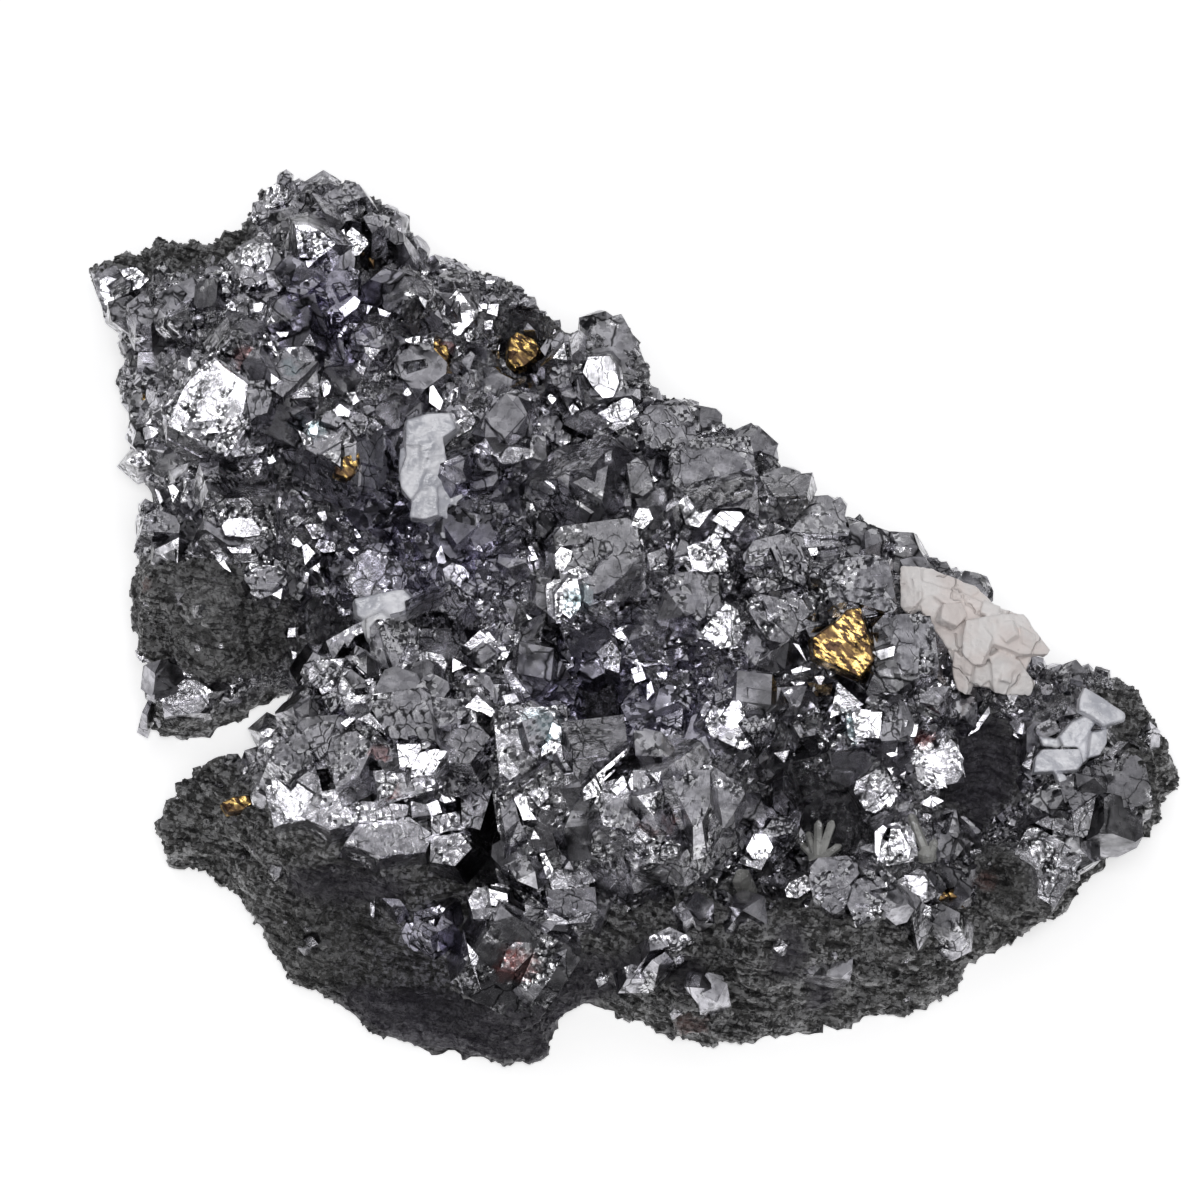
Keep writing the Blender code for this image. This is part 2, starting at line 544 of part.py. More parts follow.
def mineral(name, rows, collection, helpers, pockets, finish):
    """One piece of another mineral, its blades joined, and the pockets that it sits in."""
    joining = helper_collection(f"{name}_blades", helpers)
    forms = blade_forms(rows)
    made = new_object(name, forms[0], collection)
    for number, form in enumerate(forms[1:]):
        new_object(f"{name}_blade_{number + 2}", form, joining)
    if len(rows) > 1:
        boolean(made, "UNION", joining)
    largest_shell(made)
    made.data.materials.clear()
    made.data.materials.append(finish)
    for number, form in enumerate(blade_forms(rows, PIECE_GAP)):
        new_object(f"{name}_pocket_{number + 1}", form, pockets)


def table_cut(collection):
    form = bmesh.new()
    bmesh.ops.create_cube(form, size=1)
    bmesh.ops.scale(form, verts=form.verts, vec=(TABLE_CUT_WIDTH, TABLE_CUT_WIDTH, TABLE_CUT_DEPTH))
    bmesh.ops.translate(form, verts=form.verts, vec=(0, 0, -TABLE_CUT_DEPTH / 2))
    new_object("table_cut", form, collection)


def build():
    for old in list(bpy.data.objects):
        bpy.data.objects.remove(old)
    scene = bpy.context.scene.collection
    specimen = helper_collection("skutterudite", scene)
    helpers = helper_collection("cutters", scene)
    grown = helper_collection("grown_crystals", helpers)
    pockets = helper_collection("pockets", helpers)
    helpers.hide_render = True

    ore = material("ore", (0.16, 0.16, 0.18), 0.4, 0.9)
    quartz = material("quartz", (0.72, 0.73, 0.70), 0.25, 0.0, 0.4)
    calcite = material("calcite", (0.72, 0.64, 0.60), 0.4, 0.0)
    chalcopyrite = material("chalcopyrite", (0.62, 0.45, 0.18), 0.35, 1.0)

    body = shape_block(ore_block(specimen))
    grown_crystals(grown)
    boolean(body, "UNION", grown)
    largest_shell(body)
    minerals = [
        ("quartz_prism", QUARTZ_PRISM, quartz), ("quartz_wedge", QUARTZ_WEDGE, quartz),
        ("quartz_fan", QUARTZ_FAN, quartz), ("quartz_blade", QUARTZ_BLADE, quartz),
        ("quartz_needles", QUARTZ_NEEDLES, quartz), ("quartz_spray", QUARTZ_SPRAY, quartz),
        ("calcite_blades", CALCITE, calcite), ("chalcopyrite_large", CHALCOPYRITE_LARGE, chalcopyrite),
        ("chalcopyrite_small", CHALCOPYRITE_SMALL, chalcopyrite),
    ]
    for name, rows, finish in minerals:
        mineral(name, rows, specimen, helpers, pockets, finish)
    table_cut(pockets)
    boolean(body, "DIFFERENCE", pockets)
    largest_shell(body)
    body.data.materials.clear()
    body.data.materials.append(ore)
    for helper in list(helpers.all_objects):
        helper.hide_render = True
        helper.display_type = "WIRE"


build()
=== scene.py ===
"""Looks of a skutterudite specimen: lead-grey cubes and cubo-octahedra on their ore, with quartz, calcite
and chalcopyrite. Metres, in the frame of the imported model."""

import math
import random

import bmesh
import bpy
import numpy as np
from mathutils import Matrix, Vector, noise
from mathutils.bvhtree import BVHTree


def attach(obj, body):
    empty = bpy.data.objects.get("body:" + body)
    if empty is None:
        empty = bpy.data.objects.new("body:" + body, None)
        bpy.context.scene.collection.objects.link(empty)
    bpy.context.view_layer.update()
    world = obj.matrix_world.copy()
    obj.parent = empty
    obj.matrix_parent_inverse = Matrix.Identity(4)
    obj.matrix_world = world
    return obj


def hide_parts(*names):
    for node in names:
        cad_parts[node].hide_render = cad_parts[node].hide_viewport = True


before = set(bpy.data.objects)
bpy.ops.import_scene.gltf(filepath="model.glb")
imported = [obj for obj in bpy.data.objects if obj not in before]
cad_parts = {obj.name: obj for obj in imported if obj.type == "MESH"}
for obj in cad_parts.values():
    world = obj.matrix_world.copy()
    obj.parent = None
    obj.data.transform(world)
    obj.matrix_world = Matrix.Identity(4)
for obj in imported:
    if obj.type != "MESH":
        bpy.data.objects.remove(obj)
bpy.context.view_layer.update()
MM = 0.001


# The view
# The specimen lies on a white table and is seen from the front, looking down at 60 degrees. Places on it
# are read off that view, in the picture's own 1200 x 1200 pixels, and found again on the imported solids.
VIEW_ANGLE = math.radians(60)
VIEW_DISTANCE = 0.55
VIEW_TARGET = Vector((-2.0 * MM, 0.8 * MM, 10 * MM))
PICTURE_MIDDLE = 600
PIXEL = 0.1 * MM
SENSOR = 36
FIELD = 2 * PICTURE_MIDDLE * PIXEL

RIGHT = Vector((1, 0, 0))
UP = Vector((0, math.sin(VIEW_ANGLE), math.cos(VIEW_ANGLE)))
TOWARD = Vector((0, -math.cos(VIEW_ANGLE), math.sin(VIEW_ANGLE)))
EYE = VIEW_TARGET + TOWARD * VIEW_DISTANCE

camera_data = bpy.data.cameras.new("camera")
camera_data.sensor_width = SENSOR
camera_data.lens = SENSOR * VIEW_DISTANCE / FIELD
camera_data.clip_start = 0.01
camera = bpy.data.objects.new("camera", camera_data)
camera.location = EYE
camera.rotation_euler = TOWARD.to_track_quat("Z", "Y").to_euler()
bpy.context.scene.collection.objects.link(camera)
bpy.context.scene.camera = camera
bpy.context.scene.view_settings.view_transform = "Standard"


def solid_tree(*names):
    """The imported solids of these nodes, for sight lines to be tested on."""
    points, faces = [], []
    for name in names:
        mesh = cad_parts[name].data
        start = len(points)
        points += [vertex.co.copy() for vertex in mesh.vertices]
        faces += [[start + index for index in face.vertices] for face in mesh.polygons]
    return BVHTree.FromPolygons(points, faces)


ORE_TREE = solid_tree("ore_body")
WHOLE_TREE = solid_tree(*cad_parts)


def sight_line(across, down):
    through = VIEW_TARGET + RIGHT * (across - PICTURE_MIDDLE) * PIXEL + UP * (PICTURE_MIDDLE - down) * PIXEL
    return (through - EYE).normalized()


def seen(across, down, tree=ORE_TREE):
    """Where the sight line through a place of the picture meets the ore, or else the level of the ore."""
    line = sight_line(across, down)
    place = tree.ray_cast(EYE, line)[0]
    return place or EYE + line * (VIEW_DISTANCE / -line.dot(TOWARD))


def on_plane(across, down, place, normal):
    """Where the sight line through a place of the picture crosses the plane through a point."""
    line = sight_line(across, down)
    return EYE + line * ((place - EYE).dot(normal) / line.dot(normal))


def put_in_scene(name, data):
    """A new object of the scene, at the origin, from a mesh, a camera or a light."""
    made = bpy.data.objects.new(name, data)
    bpy.context.scene.collection.objects.link(made)
    return made


def as_mesh(form, name):
    """The mesh of a form that was built corner by corner."""
    mesh = bpy.data.meshes.new(name)
    form.to_mesh(mesh)
    form.free()
    return mesh


def shaped(holder):
    """The mesh that an object's modifiers make of it. The object itself goes."""
    graph = bpy.context.evaluated_depsgraph_get()
    mesh = bpy.data.meshes.new_from_object(holder.evaluated_get(graph))
    bpy.data.objects.remove(holder)
    return mesh


def piece(name, mesh, replaced, finish):
    """A finished piece of the specimen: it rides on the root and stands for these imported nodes."""
    made = put_in_scene(name, mesh)
    mesh.materials.clear()
    mesh.materials.append(finish)
    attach(made, "root")
    if replaced:
        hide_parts(*replaced)
    return made


# Ways to write a finish
# Each finish below is a sum of uneven patterns: stains, etching, growth steps and dirt on the real mineral, and on
# the ore mineral also patches of painted light and painted shade.
class Value:
    """A number, colour or vector that varies over a surface. Sums and products of numbers add Math nodes."""

    def __init__(self, finish, socket):
        self.finish = finish
        self.socket = socket

    def math(self, operation, *others, **settings):
        places = dict(enumerate(others))
        return self.finish.node("ShaderNodeMath", {"operation": operation, **settings}, places)

    def __add__(self, other):
        return self.math("ADD", self, other)

    def __sub__(self, other):
        return self.math("SUBTRACT", self, other)

    def __mul__(self, other):
        return self.math("MULTIPLY", self, other)

    def __rsub__(self, other):
        return self.math("SUBTRACT", other, self)

    __radd__ = __add__
    __rmul__ = __mul__

    def between(self, low, high):
        """0 below the low value, 1 above the high one, with a soft change between."""
        settings = {"interpolation_type": "SMOOTHSTEP"}
        return self.finish.node("ShaderNodeMapRange", settings, {0: self, 1: low, 2: high})


class Finish:
    """One material, written as a few lines of patterns."""

    def __init__(self, name):
        self.material = bpy.data.materials.new(name)
        self.material.use_nodes = True
        self.tree = self.material.node_tree
        self.shader = self.tree.nodes["Principled BSDF"]
        self.place = self.node("ShaderNodeTexCoord", {}, {}, "Object")

    def node(self, kind, settings, places, output=0):
        made = self.tree.nodes.new(kind)
        for name, value in settings.items():
            setattr(made, name, value)
        for name, value in places.items():
            if isinstance(value, Value):
                self.tree.links.new(value.socket, made.inputs[name])
            else:
                made.inputs[name].default_value = value
        return Value(self, made.outputs[output])

    def noise(self, where, per_metre, detail=4.0, rough=0.55):
        return self.node(
            "ShaderNodeTexNoise", {}, {"Vector": where, "Scale": per_metre, "Detail": detail, "Roughness": rough}
        )

    def noise_colour(self, where, per_metre):
        """Three uneven numbers at once, as a vector."""
        return self.node("ShaderNodeTexNoise", {}, {"Vector": where, "Scale": per_metre, "Detail": 2.0}, "Color")

    def cells(self, where, per_metre, distance="CHEBYCHEV", feature="F1", output="Color"):
        return self.node(
            "ShaderNodeTexVoronoi", {"distance": distance, "feature": feature},
            {"Vector": where, "Scale": per_metre}, output,
        )

    def mix(self, share, first, second, blend="MIX"):
        ends = {0: share}
        for place, end in ((6, first), (7, second)):
            ends[place] = end if isinstance(end, Value) else (*end, 1)
        return self.node("ShaderNodeMix", {"data_type": "RGBA", "blend_type": blend}, ends, 2)

    def vector(self, operation, *others, output=0):
        places = {}
        for place, other in enumerate(others):
            if operation == "SCALE" and place == 1:
                place = 3
            places[place] = other
        return self.node("ShaderNodeVectorMath", {"operation": operation}, places, output)

    def spot(self, across, down, radius, edge=0.5):
        """1 within a round patch about a place of the picture, falling to 0 over its edge."""
        middle = seen(across, down)
        away = self.vector("DISTANCE", self.place, tuple(middle), output="Value")
        ragged = away + (self.noise(self.place, 900, 3) - 0.5) * (radius * PIXEL * 1.2)
        return 1 - ragged.between(radius * PIXEL * edge, radius * PIXEL)

    def spots(self, rows):
        total = None
        for row in rows:
            mask = self.spot(*row)
            total = mask if total is None else total.math("MAXIMUM", total, mask)
        return total

    def set(self, **places):
        for name, value in places.items():
            target = self.shader.inputs[name.replace("_", " ")]
            if isinstance(value, Value):
                self.tree.links.new(value.socket, target)
            else:
                target.default_value = value
        return self.material


# Metallic ore mineral
# Lead-grey skutterudite, bright as polished steel, with bluish films, patches of painted light in the middle,
# patches of painted shade near the lower and right edges, and small stains of brown-red and teal. Each is a
# round patch: a place in the picture and a radius, in pixels.
STAINS_RED = [
    (245, 358, 16), (642, 625, 20), (415, 660, 12), (378, 755, 13), (390, 790, 14), (658, 822, 20),
    (517, 962, 26), (925, 742, 14), (445, 350, 12), (145, 585, 12), (690, 1032, 22), (985, 880, 16),
]
STAINS_TEAL = [(315, 430, 14), (540, 728, 24), (575, 600, 22), (855, 725, 20), (292, 372, 18), (595, 780, 20)]
BLUE_MIDDLES = [(430, 560, 150), (620, 720, 150), (330, 300, 90), (980, 780, 70), (420, 960, 110)]
PAINTED_SHADE_PATCHES = [(1115, 790, 100), (1030, 880, 75), (510, 1000, 80), (330, 960, 110), (930, 900, 50)]
PAINTED_LIGHT_PATCHES = [(630, 520, 75), (640, 630, 65), (790, 520, 70), (200, 600, 80), (570, 560, 60)]


def mineral_colour(finish, dark, light, own, broken):
    """Lead grey from dark to light, with brighter flakes and dark gaps where broken, a film, painted light and
    painted shade in patches, and stains.
    """
    broad = finish.noise(finish.place, 60, 3)
    fine = finish.noise(own, 900, 4)
    grey = finish.mix((broad * 0.4 + fine * 0.6).between(0.38, 0.64), dark, light)
    bent = finish.vector("ADD", own, finish.vector("SCALE", finish.noise_colour(own, 1500), 0.0004))
    for per_metre in (1250, 2700):
        level = finish.cells(bent, per_metre)
        grey = finish.mix((1 - level.between(0.32, 0.38)) * broken * 0.85, grey, (0.022, 0.022, 0.026))
        grey = finish.mix(level.between(0.63, 0.67) * broken * 0.75, grey, (0.84, 0.84, 0.87))
    blue = finish.spots([(a, d, r, 0.2) for a, d, r in BLUE_MIDDLES])
    film = finish.mix(blue, (1.0, 0.998, 0.992), (0.98, 0.962, 1.07))
    grey = finish.mix(1.0, grey, film, "MULTIPLY")
    # Painted light: paler patches in the middle of the plate.
    grey = finish.mix(finish.spots(PAINTED_LIGHT_PATCHES) * 0.28, grey, (0.80, 0.795, 0.82))
    # Painted shade: darker patches near the lower and right edges.
    grey = finish.mix(finish.spots(PAINTED_SHADE_PATCHES) * 0.5, grey, (0.05, 0.05, 0.052))
    grey = finish.mix(finish.spots(STAINS_RED) * 0.55, grey, (0.30, 0.10, 0.09))
    return finish.mix(finish.spots(STAINS_TEAL) * 0.45, grey, (0.34, 0.46, 0.49))


def mosaic(finish, own, broken):
    """A normal that jumps by a few degrees from one growth patch to the next, and by more where broken."""
    bent = finish.vector("ADD", own, finish.vector("SCALE", finish.noise_colour(own, 600), 0.0005))
    normal = finish.node("ShaderNodeNewGeometry", {}, {}, "Normal")
    for per_metre, share in ((380, 0.09), (1150, broken * 0.24 + 0.05), (3000, broken * 0.30 + 0.04)):
        tilt = finish.vector("SUBTRACT", finish.cells(bent, per_metre), (0.5, 0.5, 0.5))
        normal = finish.vector("ADD", normal, finish.vector("SCALE", tilt, share))
    return finish.vector("NORMALIZE", normal)


def crystal_finish():
    finish = Finish("crystal_finish")
    own = finish.node("ShaderNodeAttribute", {"attribute_name": "own"}, {}, "Vector")
    shift = finish.node("ShaderNodeAttribute", {"attribute_name": "shift"}, {}, "Vector")
    own = finish.vector("ADD", own, finish.vector("SCALE", shift, 3.0))
    broken = finish.noise(own, 330, 3).between(0.46, 0.60)
    normal = mosaic(finish, own, broken)
    bump = finish.node("ShaderNodeBump", {}, {
        "Strength": 0.4, "Distance": 0.0001, "Height": finish.noise(own, 2400, 5, 0.7), "Normal": normal})
    dull = finish.noise(finish.place, 210, 4).between(0.50, 0.68)
    pits = finish.noise(own, 1700, 4, 0.65).between(0.585, 0.635) * (broken * 0.65 + 0.35)
    edges = finish.cells(finish.vector("ADD", own, finish.vector(
        "SCALE", finish.noise_colour(own, 900), 0.0009)), 420, "EUCLIDEAN", "DISTANCE_TO_EDGE", "Distance")
    cracks = (1 - edges.between(0.0, 0.045)) * finish.noise(own, 190, 2).between(0.46, 0.51)
    scratches = finish.noise(finish.vector("MULTIPLY", own, (5200.0, 900.0, 900.0)), 1, 3).between(0.60, 0.68)
    colour = mineral_colour(finish, (0.30, 0.296, 0.324), (0.64, 0.632, 0.68), own, 0.15 + broken * 0.85)
    colour = finish.mix(dull * 0.5, colour, (0.16, 0.16, 0.162))
    colour = finish.mix(scratches * 0.35, colour, (0.05, 0.05, 0.055))
    colour = finish.mix((pits * 0.85).math("MAXIMUM", pits * 0.85, cracks * 0.95), colour, (0.012, 0.012, 0.014))
    return finish.set(
        Base_Color=colour, Metallic=1.0, Roughness=0.15 + broken * 0.08 + dull * 0.18, Normal=bump,
    )


CRYSTAL = crystal_finish()


# Massive ore
# The plate that the crystals grew on: lead-grey ore broken into small cleavage steps, and duller rock in
# the left block, the lower left ledge and the front wall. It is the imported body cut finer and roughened.
GROUND_STEP = 0.55 * MM
GROUND_SINK = 0.30 * MM
DARK_SINK = 0.8 * MM
MERGED_WITHIN = 0.0005 * MM
# Widths of the large and the small ones of each: cleavage steps, chips of rock, and crumbs.
STEP_WIDTHS = (2.3 * MM, 1.0 * MM)
CHIP_WIDTHS = (3.1 * MM, 1.4 * MM)
CRUMB_WIDTHS = (1.5 * MM, 0.8 * MM)
LAYER_SWELL = 1.4 * MM
LAYER_SWELL_WIDTH = 9 * MM
# The most that a point of the ground rises, in mm.
HIGHEST = 0.45
# Areas of the picture: duller rock, rock in thin layers, hollows that are sunk and painted near-black as their shade,
# and smoother patches painted purple-black as shade.
ROCK_ZONES = [
    [(125, 560), (215, 545), (280, 580), (288, 640), (270, 670), (215, 690), (165, 680), (130, 650)],
    [(140, 700), (200, 715), (280, 690), (285, 720), (170, 745), (140, 735)],
    [(150, 770), (225, 745), (258, 795), (330, 828), (420, 850), (480, 880), (480, 930), (560, 1000),
     (560, 1080), (400, 1070), (230, 960), (140, 870)],
    [(560, 930), (640, 900), (720, 880), (850, 905), (960, 900), (1040, 900), (1090, 860), (1150, 815),
     (1195, 770), (1195, 800), (1000, 1000), (720, 1060), (560, 1010)],
    [(80, 262), (160, 232), (262, 205), (240, 262), (160, 275), (100, 290)],
    [(1095, 690), (1130, 670), (1190, 740), (1190, 790), (1150, 820), (1095, 800), (1110, 740)],
    [(955, 725), (1000, 712), (1025, 740), (1020, 800), (985, 830), (945, 815), (950, 770)],
    [(965, 850), (1000, 842), (1030, 865), (1040, 905), (1010, 930), (975, 915)],
]
LAYERED_ZONES = [
    [(150, 770), (225, 745), (258, 795), (330, 828), (420, 850), (480, 880), (455, 915), (300, 895), (150, 875)],
    [(640, 930), (820, 905), (960, 915), (960, 990), (700, 1040), (600, 1000)],
]
HOLLOW_SHADE_ZONES = [
    [(752, 735), (790, 760), (850, 790), (865, 830), (850, 870), (800, 880), (765, 850), (780, 800)],
    [(478, 780), (500, 790), (508, 900), (480, 890)], [(575, 665), (615, 680), (620, 725), (585, 730)],
    [(491, 454), (507, 456), (507, 492), (493, 494)], [(513, 512), (522, 507), (556, 552), (548, 562)],
    [(369, 525), (378, 526), (391, 538), (383, 547), (371, 543)], [(561, 440), (568, 434), (599, 468), (592, 476)],
    [(422, 696), (429, 696), (440, 738), (434, 742)], [(550, 902), (560, 903), (570, 935), (556, 936)],
    [(505, 300), (545, 320), (540, 375), (505, 365)], [(150, 335), (205, 338), (200, 352), (155, 350)],
    [(300, 590), (350, 600), (348, 655), (305, 660)], [(350, 248), (400, 255), (395, 275), (352, 268)],
]
PURPLE_SHADE_ZONES = [
    [(284, 871), (340, 866), (407, 882), (407, 900), (340, 906), (290, 896)],
    [(350, 985), (470, 992), (540, 1000), (572, 957), (640, 955), (640, 990), (600, 1000), (566, 1035),
     (560, 1066), (480, 1062), (400, 1046), (330, 1010)],
    [(780, 925), (800, 930), (808, 960), (800, 980), (770, 975)],
    [(668, 955), (700, 962), (706, 985), (680, 992), (665, 975)],
    [(955, 728), (1000, 715), (1018, 745), (1010, 790), (980, 828), (950, 800)],
    [(512, 888), (547, 905), (556, 945), (520, 935)], [(810, 985), (835, 985), (835, 1010), (805, 1012)],
]
# For each kind of ground: its areas, their soft edge in pixels, and its share on the sides out of view.
GROUND_KINDS = {
    "rock": (ROCK_ZONES, 16, 1.0), "layered": (LAYERED_ZONES, 30, 0.6),
    "dark": (HOLLOW_SHADE_ZONES, 14, 0.3), "purple_shade": (PURPLE_SHADE_ZONES, 12, 0.2),
}
FACING_AWAY = -0.05


def in_picture(points):
    """Where points fall in the picture, in its pixels."""
    away = points - np.array(EYE)
    scale = VIEW_DISTANCE / -(away @ np.array(TOWARD)) / PIXEL
    across = PICTURE_MIDDLE + (away @ np.array(RIGHT)) * scale
    down = PICTURE_MIDDLE - (away @ np.array(UP)) * scale
    return np.stack([across, down], axis=1)


def within(places, zones, edge, margin=0):
    """1 for places inside any of the outlines, falling to 0 over an edge of so many pixels."""
    best = np.full(len(places), -1e9)
    reach = edge + margin
    for outline in zones:
        ring = np.array(outline, float)
        near = np.all((places > ring.min(0) - reach) & (places < ring.max(0) + reach), axis=1)
        some = places[near]
        inside = np.zeros(len(some), bool)
        nearest = np.full(len(some), 1e9)
        for start, end in zip(ring, np.roll(ring, -1, axis=0)):
            along = end - start
            share = np.clip(((some - start) @ along) / (along @ along), 0, 1)
            nearest = np.minimum(nearest, np.hypot(*(some - start - share[:, None] * along).T))
            crosses = (start[1] > some[:, 1]) != (end[1] > some[:, 1])
            level = start[0] + (some[:, 1] - start[1]) * along[0] / (along[1] or 1e-9)
            inside ^= crosses & (some[:, 0] < level)
        best[near] = np.maximum(best[near], np.where(inside, nearest, -nearest))
    return np.clip((best + margin) / edge + 0.5, 0, 1)


def cell_level(place, size):
    """A level from 0 to 1 that is the same all over one block of a broken surface."""
    corner = noise.voronoi(place / size, distance_metric="CHEBYCHEV")[1][0]
    return (math.sin(corner.x * 12.9 + corner.y * 78.2 + corner.z * 37.7) * 43758.5) % 1


def roughened(points, normals, rock, layered, dark, purple_shade):
    """Moves points along their normals: cleavage steps on the ore, chips and thin layers on the rock."""
    moved = points.copy()
    for index in range(len(points)):
        place = Vector(points[index])
        steps = cell_level(place, STEP_WIDTHS[0]) + 0.5 * cell_level(place, STEP_WIDTHS[1]) - 0.75
        leaning = place + Vector((place.z, place.x, place.y)) * 0.7
        chips = cell_level(leaning, CHIP_WIDTHS[0]) + 0.7 * cell_level(leaning, CHIP_WIDTHS[1]) - 0.85
        crumbs = noise.noise(place / CRUMB_WIDTHS[1]) + 0.6 * noise.noise(place / CRUMB_WIDTHS[0])
        bent = place.z + 0.22 * place.y + LAYER_SWELL * noise.noise(place / LAYER_SWELL_WIDTH)
        layers = noise.noise(Vector((place.x * 0.10, place.y * 0.10, bent * 1.25)) / MM)
        height = (1 - rock[index]) * (0.62 * steps + 0.15 * crumbs) + rock[index] * (0.8 * chips + 0.25 * crumbs)
        height += layered[index] * 1.2 * layers
        height = min(height * (1 - 0.5 * purple_shade[index]), HIGHEST)
        moved[index] += normals[index] * (height * MM - GROUND_SINK - dark[index] * DARK_SINK)
    moved[:, 2] = np.maximum(moved[:, 2], 0.0)
    return moved


def ore_ground():
    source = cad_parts["ore_body"].data
    form = bmesh.new()
    form.from_mesh(source)
    bmesh.ops.remove_doubles(form, verts=form.verts, dist=MERGED_WITHIN)
    holder = put_in_scene("ore_ground", as_mesh(form, "ore_ground"))
    remesh = holder.modifiers.new("Remesh", "REMESH")
    remesh.mode = "VOXEL"
    remesh.voxel_size = GROUND_STEP
    fine = shaped(holder)
    count = len(fine.vertices)
    points, normals = np.empty(count * 3), np.empty(count * 3)
    fine.vertices.foreach_get("co", points)
    fine.vertex_normals.foreach_get("vector", normals)
    points, normals = points.reshape(-1, 3), normals.reshape(-1, 3)
    places = in_picture(points)
    hidden = normals @ np.array(TOWARD) < FACING_AWAY
    share = {}
    for name, (zones, edge, out_of_view) in GROUND_KINDS.items():
        share[name] = np.where(hidden, out_of_view, within(places, zones, edge))
    for name in ("rock", "dark", "purple_shade"):
        fine.attributes.new(name, "FLOAT", "POINT").data.foreach_set("value", share[name])
    sunk = np.where(hidden, 0, share["dark"])
    moved = roughened(points, normals, share["rock"], share["layered"], sunk, share["purple_shade"])
    fine.vertices.foreach_set("co", moved.reshape(-1))
    fine.update()
    return fine


def ore_finish():
    finish = Finish("ore_finish")
    where = finish.place
    rock = finish.node("ShaderNodeAttribute", {"attribute_name": "rock"}, {}, "Fac")
    dark = finish.node("ShaderNodeAttribute", {"attribute_name": "dark"}, {}, "Fac")
    purple_shade = finish.node("ShaderNodeAttribute", {"attribute_name": "purple_shade"}, {}, "Fac")
    grained = 1 - purple_shade * 0.45
    colour = finish.mix(rock, (0.34, 0.336, 0.362), (0.23, 0.228, 0.215))
    dusty = finish.noise(where, 330, 4).between(0.45, 0.62)
    colour = finish.mix(dusty * 0.45, colour, (0.10, 0.10, 0.10))
    broken = mineral_colour(finish, (0.10, 0.10, 0.105), (0.46, 0.455, 0.47), where, grained)
    colour = finish.mix(0.55, colour, broken)
    dipping = finish.node("ShaderNodeMapping", {"vector_type": "TEXTURE"}, {
        "Vector": where, "Rotation": (math.radians(-38), math.radians(14), 0.0),
        "Scale": (0.0032, 0.0032, 0.00042)})
    bedding = finish.noise(dipping, 1, 5, 0.65)
    colour = finish.mix(bedding.between(0.53, 0.58) * rock * 0.75, colour, (0.018, 0.018, 0.018))
    colour = finish.mix((1 - bedding.between(0.38, 0.43)) * rock * 0.4, colour, (0.50, 0.50, 0.50))
    grit = finish.noise(where, 1900, 4, 0.7).between(0.56, 0.66)
    colour = finish.mix(grit * 0.6, colour, (0.02, 0.02, 0.022))
    # Painted shade: purple-black on the low front ledge and wall and in the right-hand hollow.
    colour = finish.mix(purple_shade * 0.6, colour, (0.075, 0.068, 0.092))
    # Painted shade: the hollows and slots made near-black.
    colour = finish.mix(dark * 0.6, colour, (0.020, 0.019, 0.026))
    normal = mosaic(finish, where, 1.5)
    height = finish.noise(where, 1500, 6, 0.75) + finish.noise(where, 500, 3) * 2 - bedding * rock * 3
    bump = finish.node("ShaderNodeBump", {}, {
        "Strength": 1.0, "Distance": 0.0004, "Height": height, "Normal": normal})
    worn = finish.noise(where, 420, 4).between(0.4, 0.7)
    return finish.set(
        Base_Color=colour, Metallic=0.95 - rock * 0.35, Roughness=0.20 + worn * 0.18 + rock * 0.12, Normal=bump,
    )


ORE = ore_finish()
ground = piece("massive_ore", ore_ground(), ["ore_body"], ORE)


